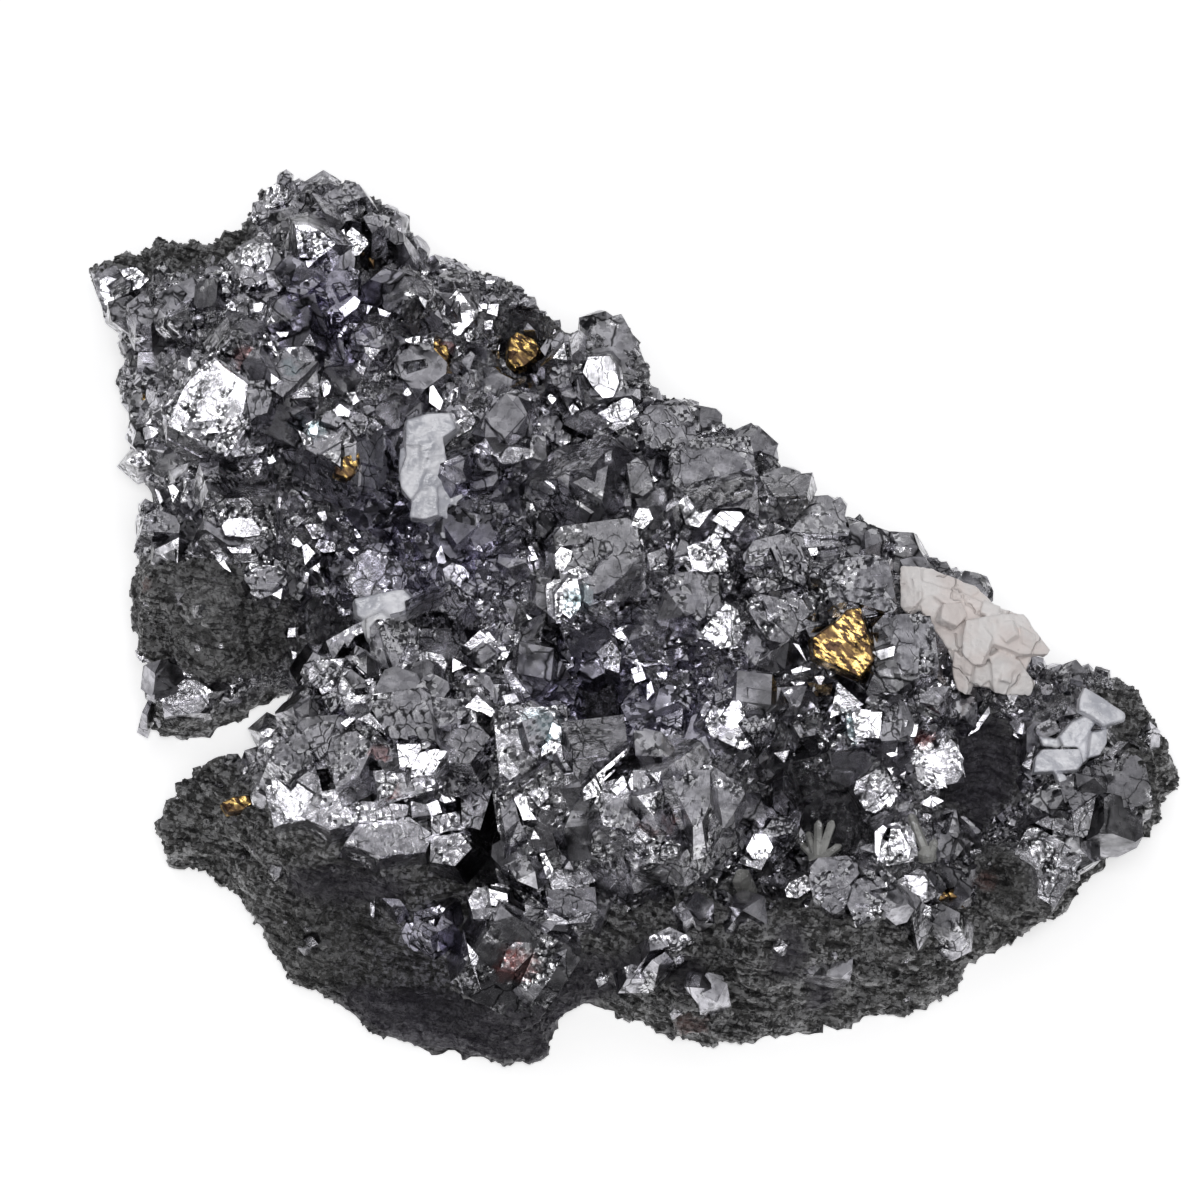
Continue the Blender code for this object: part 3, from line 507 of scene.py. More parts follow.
# Large crystals
# Cubes with cut corners, 2 to 9 mm, grown from the ore. Each is a few blocks grown side by side in one
# setting, so that its faces are stepped. The rows give a place in the picture, a width in pixels, how far
# the corners are cut (3 is a whole cube, 2 a cubo-octahedron), and the lean to the right and up, and spin.
SQUARE_ON = [
    (122, 285, 52, 2.6, 0, 2, 20), (257, 262, 46, 2.4, 2, 0, 30), (305, 288, 42, 2.6, -10, -30, 5),
    (338, 207, 40, 2.5, 0, 30, 12), (280, 203, 30, 2.4, 0, 0, 40), (380, 230, 32, 2.5, 5, 28, 20),
    (335, 292, 46, 2.5, 0, 22, 0), (285, 330, 46, 2.6, 0, 0, 15), (290, 374, 52, 2.6, 2, 12, 5),
    (275, 420, 38, 2.6, 10, -20, 25), (215, 404, 78, 2.85, -3, 0, -36), (245, 437, 38, 2.7, 0, 0, 10),
    (575, 377, 44, 2.6, 0, 27, 30), (606, 374, 60, 2.6, 15, 32, 10), (600, 380, 46, 2.4, 0, 0, 5),
    (618, 411, 36, 2.6, 0, 0, 25), (668, 427, 52, 2.6, 0, 28, 10), (715, 474, 80, 2.5, 0, 27, 5),
    (658, 508, 38, 2.6, 15, -10, 20), (728, 521, 34, 2.5, 0, 0, 10), (705, 559, 42, 2.6, 0, 0, 30),
    (695, 595, 48, 2.7, -10, 20, 5), (718, 627, 44, 2.6, 0, 0, 10), (783, 492, 50, 2.5, 0, 27, 25),
    (817, 522, 56, 2.5, 2, 26, 5), (775, 564, 58, 2.5, -3, 25, 15), (780, 612, 54, 2.6, 10, 10, 30),
    (860, 587, 64, 2.5, 0, 26, 10), (905, 645, 62, 2.6, 10, 20, 2), (866, 722, 38, 2.7, 0, 0, 5),
    (893, 720, 38, 2.6, 20, 10, 20), (510, 441, 46, 2.3, 5, 5, 20), (600, 562, 82, 2.8, 0, 18, 8),
    (568, 600, 42, 2.6, 0, 4, 5), (590, 633, 50, 2.6, 5, -20, 25), (645, 645, 40, 2.6, 5, 15, 10),
    (375, 577, 54, 2.3, 5, 5, 30), (242, 530, 66, 2.6, 0, -2, 5), (265, 578, 38, 2.6, 5, 15, 20),
    (185, 692, 46, 2.6, 0, 0, 5), (342, 690, 62, 2.7, 0, 3, 5), (395, 643, 50, 2.7, -15, 12, 5),
    (428, 647, 62, 2.7, 10, -5, 15), (528, 676, 40, 2.7, 0, 2, 20), (533, 744, 70, 2.7, 3, 2, 5),
    (402, 722, 62, 2.7, -3, 20, 10), (452, 724, 48, 2.6, 8, 20, 5), (410, 765, 52, 2.6, 0, 0, 15),
    (468, 765, 54, 2.6, 25, -15, 20), (322, 743, 54, 2.6, -10, 20, 5), (295, 760, 42, 2.6, -20, 0, 10),
    (357, 765, 54, 2.6, -5, -5, 20), (295, 795, 52, 2.7, 0, 0, 12), (545, 822, 88, 2.8, 0, -6, 8),
    (557, 893, 62, 2.8, 0, 15, 4), (697, 800, 64, 2.6, 5, 18, 10),
    (592, 768, 50, 2.6, -18, 0, 5), (738, 718, 62, 2.25, -2, 0, 20), (783, 833, 36, 2.8, 15, 20, 30),
    (895, 844, 40, 2.6, 0, 0, 10), (916, 889, 32, 2.7, 0, 0, 30), (938, 763, 46, 2.6, 0, 0, 10),
    (850, 757, 38, 2.6, -5, -15, 15), (875, 792, 36, 2.6, 0, 10, 30), (835, 880, 46, 2.6, 0, 22, 5),
    (868, 899, 42, 2.6, 3, 18, 20), (1120, 782, 56, 2.6, 0, 22, 10), (1076, 807, 60, 2.5, -5, 8, 30),
    (1043, 866, 60, 2.8, 3, 2, -30), (493, 907, 42, 2.6, 3, 5, 15), (517, 970, 92, 2.7, 5, -18, -30),
]
# The same for crystals that show an octahedral face.
CORNER_ON = [
    (640, 805, 118, 1.75, -8, 4, 0),
    (142, 314, 34, 1.8, 20, 25, 10), (177, 322, 42, 1.5, 10, -15, 0), (312, 245, 50, 2.0, 0, 0, 180),
    (357, 243, 36, 2.0, 0, 0, 160), (402, 306, 54, 1.7, -5, -20, 10), (370, 338, 38, 1.5, 0, 26, 0),
    (238, 352, 62, 1.6, -10, -10, 30), (260, 394, 40, 1.5, 5, 20, 10), (335, 441, 82, 1.7, -4, 6, 15),
    (637, 480, 40, 1.7, -10, 0, 20), (590, 484, 86, 1.6, 0, 10, 10), (192, 492, 40, 1.9, 0, 10, 180),
    (155, 524, 42, 1.7, -5, 0, 20), (305, 712, 46, 1.8, -15, 5, 20), (670, 728, 46, 1.5, 0, 5, 10),
    (760, 848, 38, 1.5, 0, 0, 8), (432, 922, 44, 1.5, 0, 8, 0), (455, 579, 36, 1.7, 0, 0, 20),
    (455, 470, 44, 1.7, 0, 10, 10), (930, 705, 42, 1.7, 5, -5, 15),
]
PROUD = 0.2 * MM
# A face that leans less than this, in degrees, would mirror the light.
DULL_LEAN = 13
NARROW, WIDE = 30, 60


def crystal_corners(cut):
    """Corners of a cube of half width 1 whose own corners are cut by octahedral faces."""
    corners = set()
    for axis in range(3):
        for signs in ((a, b, c) for a in (-1, 1) for b in (-1, 1) for c in (-1, 1)):
            if cut >= 2:
                point = (signs[0], signs[1], signs[2] * (cut - 2))
            else:
                point = (signs[0], signs[1] * (cut - 1), 0)
                corners.add(tuple(np.roll((signs[0], 0, signs[1] * (cut - 1)), axis)))
            corners.add(tuple(np.roll(point, axis)))
    return [Vector(corner) for corner in sorted(corners)]


def setting(lean_right, lean_up, spin):
    """A turn that takes +Z to the viewer's side, leaned by these angles, after a spin about it."""
    view = Matrix((RIGHT, UP, TOWARD)).transposed()
    lean = Matrix.Rotation(math.radians(lean_right), 3, "Y") @ Matrix.Rotation(-math.radians(lean_up), 3, "X")
    return view @ lean @ Matrix.Rotation(math.radians(spin), 3, "Z")


CORNER_TO_FRONT = Vector((1, 1, 1)).rotation_difference(Vector((0, 0, 1))).to_matrix()


def block(form, own, middle, turn, halves, cut, centre, shift):
    """Adds one block: a cut cube with its own half widths, at a centre in the crystal's setting."""
    corners = []
    for corner in crystal_corners(cut):
        local = centre + Vector(corner[i] * halves[i] for i in range(3))
        vertex = form.verts.new(middle + turn @ local)
        vertex[own] = local + shift
        corners.append(vertex)
    bmesh.ops.convex_hull(form, input=corners)


def stepped_crystal(form, own, middle, turn, half, cut, chance, blocks):
    """A crystal of several blocks in one setting, the first one the whole crystal."""
    shift = Vector(chance.uniform(-1, 1) for _ in range(3))
    block(form, own, middle, turn, [half] * 3, cut, Vector(), shift)
    for _ in range(blocks):
        size = half * chance.uniform(0.32, 0.72)
        halves = [size * chance.uniform(0.75, 1.25) for _ in range(3)]
        side = [chance.choice((-1, 1)) for _ in range(3)]
        proud = chance.uniform(0.0, 0.07) * half
        reach = [max(0.0, half - halves[i]) for i in range(3)]
        centre = Vector(side[i] * reach[i] * chance.uniform(0.35, 1.0) for i in range(3))
        face = chance.randrange(3)
        centre[face] = side[face] * (half - halves[face] + proud)
        block(form, own, middle, turn, halves, chance.uniform(cut, 2.95), centre, shift)


def large_crystals():
    chance = random.Random(11)
    form = bmesh.new()
    own = form.verts.layers.float_vector.new("own")
    rows = [(*row, False) for row in SQUARE_ON] + [(*row, True) for row in CORNER_ON]
    for across, down, width, cut, lean_right, lean_up, spin, corner_on in rows:
        if abs(lean_up) < DULL_LEAN:
            lean_up = math.copysign(DULL_LEAN, lean_up)
        turn = setting(lean_right, lean_up, spin)
        front = turn @ Vector((0, 0, 1))
        half = width * PIXEL / 2
        reach = half * (cut / math.sqrt(3) if corner_on else 1)
        if corner_on:
            turn = turn @ CORNER_TO_FRONT
        middle = seen(across, down) - front * (reach - PROUD)
        steps = 2 if width < NARROW else 5 if width < WIDE else 9
        stepped_crystal(form, own, middle, turn, half, cut, chance, steps)
    return as_mesh(form, "large_crystals")


piece("large_crystals", large_crystals(), [], CRYSTAL)


# Crystal faces
# The faces that show in the photograph, each the flat front of a low block of the same mineral. Each row is
# an outline in the picture, across and down in turn. Faces square to the viewer mirror the light.
WHITE_FACES = [
    (243, 248, 251, 243, 272, 243, 273, 253, 270, 264, 264, 273, 255, 265, 241, 264),
    (119, 269, 136, 267, 139, 270, 124, 277), (139, 270, 149, 279, 140, 288, 133, 290, 133, 280, 125, 279),
    (100, 280, 108, 276, 119, 280, 116, 288, 100, 292), (101, 292, 115, 295, 113, 303, 105, 305),
    (167, 425, 184, 388, 212, 352, 222, 366, 248, 384, 243, 412, 212, 447),
    (295, 225, 308, 225, 323, 233, 335, 244, 331, 249, 316, 259, 300, 257, 298, 249),
    (333, 237, 344, 229, 345, 239, 340, 245), (347, 233, 352, 227, 367, 239, 368, 244, 359, 255, 347, 257),
    (305, 261, 317, 259, 308, 268), (265, 201, 268, 188, 277, 184, 288, 188, 287, 200, 268, 205),
    (339, 309, 355, 296, 360, 301, 357, 308, 345, 317), (364, 296, 371, 288, 377, 300, 367, 314, 362, 308),
    (270, 325, 287, 317, 295, 324, 301, 335, 280, 337), (263, 333, 268, 335, 277, 352, 265, 344),
    (364, 347, 381, 348, 373, 360, 365, 352), (403, 339, 420, 336, 419, 345, 407, 342),
    (419, 296, 427, 301, 425, 308, 420, 300), (378, 308, 391, 313, 388, 317, 380, 315),
    (470, 303, 487, 304, 487, 309, 475, 313), (489, 304, 499, 304, 497, 316, 487, 313),
    (484, 321, 493, 320, 492, 329, 485, 330), (553, 358, 564, 343, 567, 360),
    (547, 397, 556, 389, 556, 400, 552, 404), (569, 409, 573, 403, 584, 415, 575, 421),
    (583, 372, 588, 357, 609, 356, 615, 364, 619, 383, 613, 397, 603, 398, 593, 387),
    (598, 413, 617, 404, 623, 397, 632, 400, 634, 413, 625, 420, 611, 422),
    (453, 423, 461, 419, 472, 425, 471, 429, 457, 437), (473, 437, 480, 432, 483, 440, 477, 442),
    (631, 524, 639, 508, 649, 509, 653, 519, 643, 529), (712, 520, 721, 511, 741, 512, 744, 517, 732, 531),
    (705, 547, 713, 533, 723, 535, 720, 543, 715, 549),
    (687, 547, 695, 544, 707, 551, 727, 551, 716, 557, 727, 559, 729, 571, 705, 572, 692, 568),
    (647, 481, 652, 475, 658, 480, 651, 483), (127, 461, 139, 452, 151, 449, 147, 457, 151, 464, 139, 468),
    (168, 486, 173, 484, 179, 491, 173, 503), (155, 489, 159, 491, 163, 501, 160, 504),
    (222, 526, 228, 519, 252, 518, 261, 531, 259, 535, 244, 537, 225, 535),
    (227, 547, 251, 549, 251, 553, 232, 553), (216, 559, 223, 559, 231, 572, 224, 568),
    (320, 382, 325, 377, 331, 385, 329, 393, 324, 397), (347, 393, 355, 392, 359, 401, 353, 405),
    (333, 410, 340, 404, 350, 411, 349, 417, 337, 415), (306, 424, 320, 417, 317, 435, 311, 434),
    (298, 430, 313, 439, 312, 445, 304, 445), (343, 431, 351, 434, 349, 442, 343, 445),
    (317, 513, 325, 511, 327, 518, 324, 523), (305, 525, 323, 523, 325, 530, 323, 537, 313, 539),
    (289, 543, 295, 535, 303, 545, 299, 547), (302, 546, 307, 544, 315, 553, 305, 565),
    (315, 547, 319, 539, 335, 543, 335, 551, 324, 553), (352, 529, 356, 529, 361, 537, 357, 538),
    (347, 549, 353, 545, 359, 550, 353, 554), (430, 387, 433, 385, 443, 401, 440, 410, 429, 402),
    (436, 556, 441, 545, 447, 564, 438, 563), (443, 569, 452, 563, 463, 566, 469, 573, 469, 587, 449, 596),
    (555, 554, 561, 547, 572, 551, 571, 559, 564, 569, 556, 569), (568, 571, 579, 566, 588, 574, 580, 579),
    (555, 594, 568, 578, 577, 579, 581, 597, 580, 609, 568, 621, 555, 615),
    (526, 614, 536, 621, 533, 633), (612, 634, 620, 627, 629, 625, 627, 642, 619, 639),
    (160, 701, 172, 689, 184, 680, 197, 680, 213, 692, 192, 697, 173, 705),
    (259, 732, 268, 728, 280, 731, 277, 736, 264, 739),
    (270, 765, 292, 779, 313, 793, 312, 801, 300, 816, 287, 819, 273, 793),
    (319, 689, 333, 679, 335, 687, 322, 695), (465, 707, 477, 695, 495, 711, 491, 717, 482, 712),
    (473, 668, 486, 669, 483, 675), (358, 719, 370, 713, 383, 727, 386, 736, 375, 727),
    (341, 723, 352, 715, 356, 718, 346, 727), (397, 744, 420, 744, 421, 749, 411, 767, 400, 767),
    (420, 753, 435, 749, 447, 751, 437, 767, 432, 775, 417, 775, 411, 781, 411, 768),
    (498, 659, 502, 653, 510, 651, 506, 660), (502, 696, 515, 693, 519, 701, 507, 707),
    (550, 721, 561, 727, 565, 733, 555, 740, 547, 731), (542, 747, 550, 740, 561, 744, 551, 759, 534, 769),
    (514, 799, 525, 792, 527, 800, 529, 809, 537, 820, 523, 820, 519, 809), (539, 808, 550, 805, 550, 811),
    (531, 839, 534, 830, 540, 839), (540, 854, 545, 853, 553, 869, 553, 874, 547, 879),
    (583, 789, 595, 777, 602, 794, 584, 801), (596, 775, 619, 755, 627, 748, 627, 753, 605, 773, 603, 789),
    (610, 789, 623, 775, 627, 785, 617, 795), (628, 783, 632, 773, 635, 783, 632, 791),
    (631, 669, 641, 665, 646, 679, 635, 683), (653, 673, 667, 672, 666, 679, 655, 680),
    (647, 685, 651, 681, 654, 692, 647, 700), (614, 721, 623, 715, 627, 720, 617, 724),
    (701, 631, 712, 619, 720, 610, 725, 601, 731, 606, 731, 630, 723, 647, 704, 639),
    (732, 701, 740, 700, 745, 715, 733, 729, 725, 726, 720, 719), (787, 706, 793, 704, 800, 712, 799, 717),
    (791, 670, 801, 666, 811, 669, 793, 675), (793, 643, 799, 645, 807, 662), (791, 682, 805, 682, 800, 690),
    (821, 737, 825, 733, 829, 742), (852, 714, 858, 708, 866, 712, 882, 712, 880, 738, 856, 737),
    (881, 750, 892, 743, 897, 741, 897, 755, 891, 757), (911, 758, 918, 757, 920, 766, 913, 766),
    (918, 758, 945, 751, 956, 746, 964, 759, 962, 770, 950, 768, 921, 766),
    (887, 768, 895, 767, 892, 775), (900, 775, 906, 771, 904, 779), (896, 787, 900, 785, 900, 792),
    (881, 799, 887, 793, 893, 803, 889, 809), (920, 803, 932, 795, 944, 801, 931, 808),
    (933, 772, 941, 775, 947, 788, 941, 785), (968, 736, 978, 722, 989, 706, 990, 713, 978, 730),
    (746, 849, 754, 834, 766, 834, 773, 847, 767, 859, 753, 859),
    (785, 890, 790, 882, 805, 875, 810, 878, 810, 890, 798, 898, 787, 897),
    (875, 832, 883, 825, 887, 828, 881, 840, 878, 862, 875, 851),
    (891, 829, 900, 829, 905, 840, 911, 848, 908, 860, 889, 864, 889, 840),
    (865, 863, 872, 855, 879, 863, 875, 868), (904, 875, 924, 876, 928, 880, 926, 899, 911, 892, 912, 885),
    (921, 903, 931, 907, 931, 917, 917, 913), (1025, 840, 1045, 841, 1056, 850, 1061, 862, 1055, 873, 1035, 862),
    (467, 943, 479, 957, 475, 968, 481, 990, 471, 963),
    (370, 903, 375, 898, 374, 918, 371, 916), (489, 889, 507, 894, 508, 902, 501, 907, 491, 905),
    (426, 912, 440, 905, 445, 909, 436, 920), (710, 877, 718, 878, 717, 883), (606, 765, 626, 749, 627, 753),
]
# Faces that lean back and mirror the pale wall: bright grey.
PALE_FACES = [
    (311, 207, 335, 188, 345, 183, 359, 184, 367, 196, 353, 200, 335, 211),
    (363, 217, 371, 211, 384, 219, 383, 225, 372, 233), (380, 233, 388, 225, 403, 233, 404, 243, 396, 245),
    (355, 333, 364, 323, 381, 327, 386, 343, 379, 348, 357, 344), (311, 291, 320, 287, 332, 297, 327, 300),
    (333, 283, 343, 281, 351, 292, 340, 297), (127, 304, 141, 293, 148, 296, 156, 317, 151, 325, 136, 325),
    (269, 388, 272, 360, 287, 351, 301, 363, 318, 361, 305, 375, 292, 385, 283, 397),
    (245, 391, 251, 380, 269, 381, 272, 397, 267, 413, 251, 419), (461, 361, 471, 351, 475, 355, 469, 371),
    (540, 349, 547, 339, 552, 340, 545, 356), (551, 343, 560, 332, 572, 337, 568, 344, 553, 349),
    (549, 383, 563, 372, 571, 368, 571, 383, 560, 388), (576, 396, 581, 393, 590, 403, 587, 406),
    (515, 437, 520, 431, 528, 437, 525, 444),
    (687, 453, 713, 447, 727, 449, 748, 460, 759, 475, 740, 479, 713, 488, 687, 495, 681, 475),
    (649, 444, 665, 407, 677, 417, 687, 440, 687, 452, 651, 448),
    (627, 464, 637, 457, 648, 467, 653, 488, 643, 496, 631, 492),
    (759, 489, 771, 479, 777, 472, 795, 485, 799, 495, 768, 497),
    (791, 530, 809, 507, 822, 502, 850, 530, 848, 536, 795, 534), (749, 547, 767, 545, 776, 565, 745, 566),
    (771, 547, 783, 539, 796, 545, 801, 572, 808, 588, 783, 576),
    (685, 572, 695, 571, 707, 600, 705, 617, 697, 621, 682, 600),
    (888, 652, 900, 614, 908, 614, 920, 640, 918, 673, 904, 674),
    (846, 566, 868, 570, 898, 606, 892, 614, 848, 600, 834, 578),
    (884, 715, 896, 700, 901, 708, 903, 720, 899, 740, 881, 741), (184, 471, 208, 481, 199, 489, 188, 491),
    (207, 490, 200, 509, 195, 513, 188, 505, 187, 496), (141, 531, 145, 515, 156, 509, 175, 516, 180, 525, 179, 533),
    (321, 421, 325, 411, 333, 410, 345, 421, 337, 427), (344, 421, 361, 413, 367, 417, 365, 431, 357, 437),
    (563, 546, 573, 535, 588, 529, 592, 535, 584, 543), (573, 555, 592, 549, 596, 561, 591, 570, 580, 565),
    (593, 537, 613, 542, 612, 550, 596, 563), (599, 567, 625, 546, 640, 563, 633, 571, 605, 590, 593, 595),
    (536, 577, 551, 578, 553, 587, 547, 613, 536, 605), (503, 602, 513, 598, 517, 606, 513, 622),
    (269, 760, 296, 732, 307, 737, 309, 749, 313, 761, 292, 776), (142, 712, 148, 700, 152, 701, 147, 716),
    (304, 731, 311, 725, 324, 721, 336, 723, 331, 733, 327, 751, 319, 759, 309, 744),
    (379, 627, 386, 620, 406, 621, 410, 628, 405, 645, 395, 671, 386, 651),
    (309, 683, 330, 665, 343, 667, 337, 675, 319, 689), (343, 676, 351, 669, 365, 680, 366, 687, 354, 689),
    (322, 697, 334, 692, 343, 703, 331, 712),
    (371, 708, 377, 700, 401, 700, 425, 700, 431, 715, 435, 740, 413, 735, 393, 740, 380, 724),
    (430, 696, 461, 700, 469, 712, 457, 723, 437, 727), (522, 721, 550, 711, 554, 717, 545, 739, 530, 747),
    (599, 809, 620, 797, 629, 809, 639, 819, 631, 829, 603, 826), (807, 682, 823, 685, 833, 682, 831, 694, 817, 697),
    (673, 785, 690, 770, 710, 770, 710, 803, 702, 822, 693, 826), (739, 722, 756, 715, 764, 725, 753, 738),
    (762, 833, 774, 817, 787, 819, 798, 829, 790, 833, 770, 838),
    (793, 725, 800, 724, 804, 732, 816, 727, 815, 735, 800, 738), (414, 912, 430, 908, 453, 923, 430, 937, 414, 926),
    (382, 898, 399, 899, 404, 905, 394, 909), (596, 898, 604, 890, 615, 885, 618, 893, 607, 910, 604, 918, 597, 910),
    (516, 885, 532, 885, 539, 894, 533, 896),
    (557, 953, 567, 949, 565, 958), (500, 802, 514, 797, 519, 820, 505, 832),
    (399, 767, 410, 768, 410, 780), (440, 827, 472, 821, 467, 829, 440, 833),
    (649, 937, 669, 927, 693, 938, 674, 945, 650, 951), (671, 909, 683, 901, 693, 917, 683, 922),
    (713, 890, 723, 889, 730, 894, 729, 901, 715, 899), (624, 967, 635, 963, 648, 965, 647, 979, 627, 979),
    (652, 960, 665, 952, 669, 956, 659, 965), (855, 903, 863, 890, 884, 902, 880, 905),
    (897, 883, 905, 886, 921, 900, 912, 917, 900, 901), (931, 907, 940, 903, 960, 913, 959, 926, 949, 930, 932, 923),
    (809, 875, 839, 869, 849, 860, 860, 873, 847, 887, 831, 893, 815, 892),
    (1065, 795, 1075, 790, 1097, 794, 1073, 810), (1056, 773, 1065, 775, 1077, 794, 1065, 803),
]
# Faces that lean aside: middle grey.
MIDDLE_FACES = [
    (284, 276, 325, 276, 317, 285, 304, 295, 287, 291),
    (244, 579, 260, 571, 280, 564, 287, 572, 273, 589, 251, 589), (295, 779, 307, 771, 319, 776, 316, 793),
    (511, 760, 529, 747, 541, 748, 534, 769, 522, 775), (527, 792, 546, 785, 549, 797, 539, 807),
    (597, 652, 611, 639, 621, 653, 619, 673, 605, 668), (633, 770, 650, 770, 650, 789, 639, 802, 634, 795),
    (326, 641, 354, 625, 365, 620, 365, 632, 347, 639, 333, 660),
    (760, 594, 780, 598, 799, 598, 799, 617, 793, 637, 771, 614),
    (399, 668, 405, 647, 423, 651, 443, 655, 447, 664, 442, 680), (918, 688, 950, 686, 938, 706, 920, 702),
    (332, 736, 356, 731, 372, 743, 371, 751, 359, 776, 336, 789, 328, 753),
    (373, 771, 393, 769, 399, 780, 393, 793, 380, 800), (361, 801, 409, 805, 407, 815, 393, 821, 360, 820),
    (411, 801, 425, 804, 431, 815, 412, 817), (431, 817, 460, 811, 460, 828, 432, 835),
    (650, 787, 655, 778, 663, 787, 662, 810, 654, 803), (661, 847, 670, 839, 681, 845, 678, 855, 661, 854),
    (710, 770, 740, 781, 745, 794, 738, 805, 730, 821, 711, 803), (860, 785, 880, 765, 893, 780, 881, 793),
    (738, 863, 743, 855, 751, 861, 767, 859, 761, 870), (879, 872, 884, 868, 896, 879, 887, 887),
    (829, 890, 847, 881, 851, 887, 844, 909, 833, 915, 821, 906), (1072, 810, 1093, 798, 1084, 810, 1075, 837),
    (1104, 754, 1119, 741, 1128, 742, 1113, 757), (477, 887, 489, 890, 491, 906, 480, 907),
    (472, 909, 505, 907, 504, 919, 473, 919), (515, 942, 532, 943, 532, 954, 516, 970, 501, 967, 507, 949),
    (533, 955, 560, 960, 550, 979, 535, 999, 520, 985),
    (545, 890, 595, 887, 597, 910, 570, 918, 548, 905), (1035, 745, 1030, 770, 1022, 765),
    (1035, 823, 1053, 813, 1073, 823, 1073, 837, 1053, 830),
    (313, 793, 336, 789, 359, 800, 360, 822, 330, 830, 300, 816),
    (360, 822, 409, 817, 431, 833, 425, 852, 380, 856, 345, 843),
    (431, 837, 460, 833, 472, 848, 455, 866, 430, 862), (440, 730, 476, 722, 490, 737, 470, 763, 447, 763),
    (460, 772, 486, 747, 492, 790, 480, 830, 462, 824),
]
# Faces that lean forward or far aside: dark.
DARK_FACES = [
    (116, 299, 129, 292, 136, 297, 121, 309), (164, 320, 187, 309, 191, 315, 193, 327, 173, 340),
    (325, 213, 340, 220, 344, 225, 332, 237), (167, 426, 212, 449, 241, 471, 220, 473, 193, 467, 167, 445),
    (572, 355, 579, 349, 585, 356, 583, 372, 571, 383), (563, 424, 588, 409, 612, 425, 587, 436),
    (687, 495, 713, 488, 740, 479, 755, 480, 753, 497, 720, 505, 700, 516),
    (775, 497, 807, 495, 809, 505, 791, 522), (740, 572, 776, 566, 783, 577, 747, 577),
    (208, 491, 217, 493, 228, 499, 225, 508, 201, 509),
    (556, 617, 568, 622, 581, 610, 608, 627, 611, 637, 593, 642, 573, 627),
    (596, 598, 632, 573, 640, 570, 640, 583, 624, 602), (407, 621, 439, 609, 454, 620, 459, 633, 415, 627),
    (499, 797, 553, 761, 566, 777, 526, 792), (573, 748, 627, 740, 603, 769, 583, 788, 573, 771),
    (629, 641, 647, 635, 665, 637, 662, 660, 639, 661), (693, 642, 704, 641, 729, 653, 709, 655),
    (592, 834, 601, 826, 617, 831, 636, 846, 617, 861, 604, 862, 591, 855),
    (663, 785, 673, 786, 693, 827, 681, 830, 667, 810), (773, 794, 782, 791, 797, 810, 793, 819, 774, 810),
    (451, 833, 471, 835, 472, 846, 457, 857), (511, 886, 533, 897, 547, 909, 530, 905),
    (831, 752, 865, 751, 876, 759, 849, 788, 831, 779), (859, 867, 875, 872, 875, 879, 867, 877),
    (356, 728, 373, 731, 391, 745, 372, 743), (773, 863, 790, 842, 798, 833, 795, 845, 781, 860),
]
# For each kind: its outlines, and how far at most its faces lean to the right, and up from and to.
FACE_KINDS = [
    (WHITE_FACES, 4, -3, 4), (PALE_FACES, 9, 23, 31), (MIDDLE_FACES, 14, 12, 19), (DARK_FACES, 12, -27, -20),
]
FACE_PROUD = 0.75 * MM
MOST_RISE = 3 * MM
DEEPEST = 4.5 * MM
STEP_RISE = 0.09 * MM
UNSTEPPED = 18


def corners_of(outline):
    return list(zip(outline[::2], outline[1::2]))


def middle_of(outline):
    return sum(outline[::2]) * 2 / len(outline), sum(outline[1::2]) * 2 / len(outline)


def clear_place(outline, normal, tree, proud):
    """A point for the plane of a face to stand clear of a solid all over its outline, and its depth to it."""
    centre = seen(*middle_of(outline), tree)
    rises = []
    for corner in [*corners_of(outline), middle_of(outline)]:
        spot = on_plane(*corner, centre, normal)
        hit = tree.ray_cast(EYE, (spot - EYE).normalized())[0]
        rises.append((hit - spot).dot(TOWARD) if hit else 0.0)
    lift = min(max(rises), MOST_RISE) + proud
    return centre + TOWARD * lift, min(lift - min(rises) + proud, DEEPEST)


def face_block(form, own, outline, place, turn, depth, splay, shift):
    """A block whose front fills an outline of the picture, on the plane through a point, wider at its back."""
    normal = turn @ Vector((0, 0, 1))
    front = [on_plane(*corner, place, normal) for corner in corners_of(outline)]
    heart = sum(front, Vector()) / len(front)
    back = [point + (point - heart).normalized() * splay * depth - normal * depth for point in front]
    rings = []
    for ring in (front, back):
        rings.append([form.verts.new(point) for point in ring])
        for vertex, point in zip(rings[-1], ring):
            vertex[own] = turn.inverted() @ (point - heart) + shift
    form.faces.new(rings[0])
    form.faces.new(reversed(rings[1]))
    for number in range(len(front)):
        after = (number + 1) % len(front)
        form.faces.new([rings[0][number], rings[1][number], rings[1][after], rings[0][after]])


def shrunk(outline, corner, share):
    """The same outline, smaller by a share about one of its corners."""
    about = corners_of(outline)[corner]
    return tuple(about[i % 2] + (value - about[i % 2]) * share for i, value in enumerate(outline))


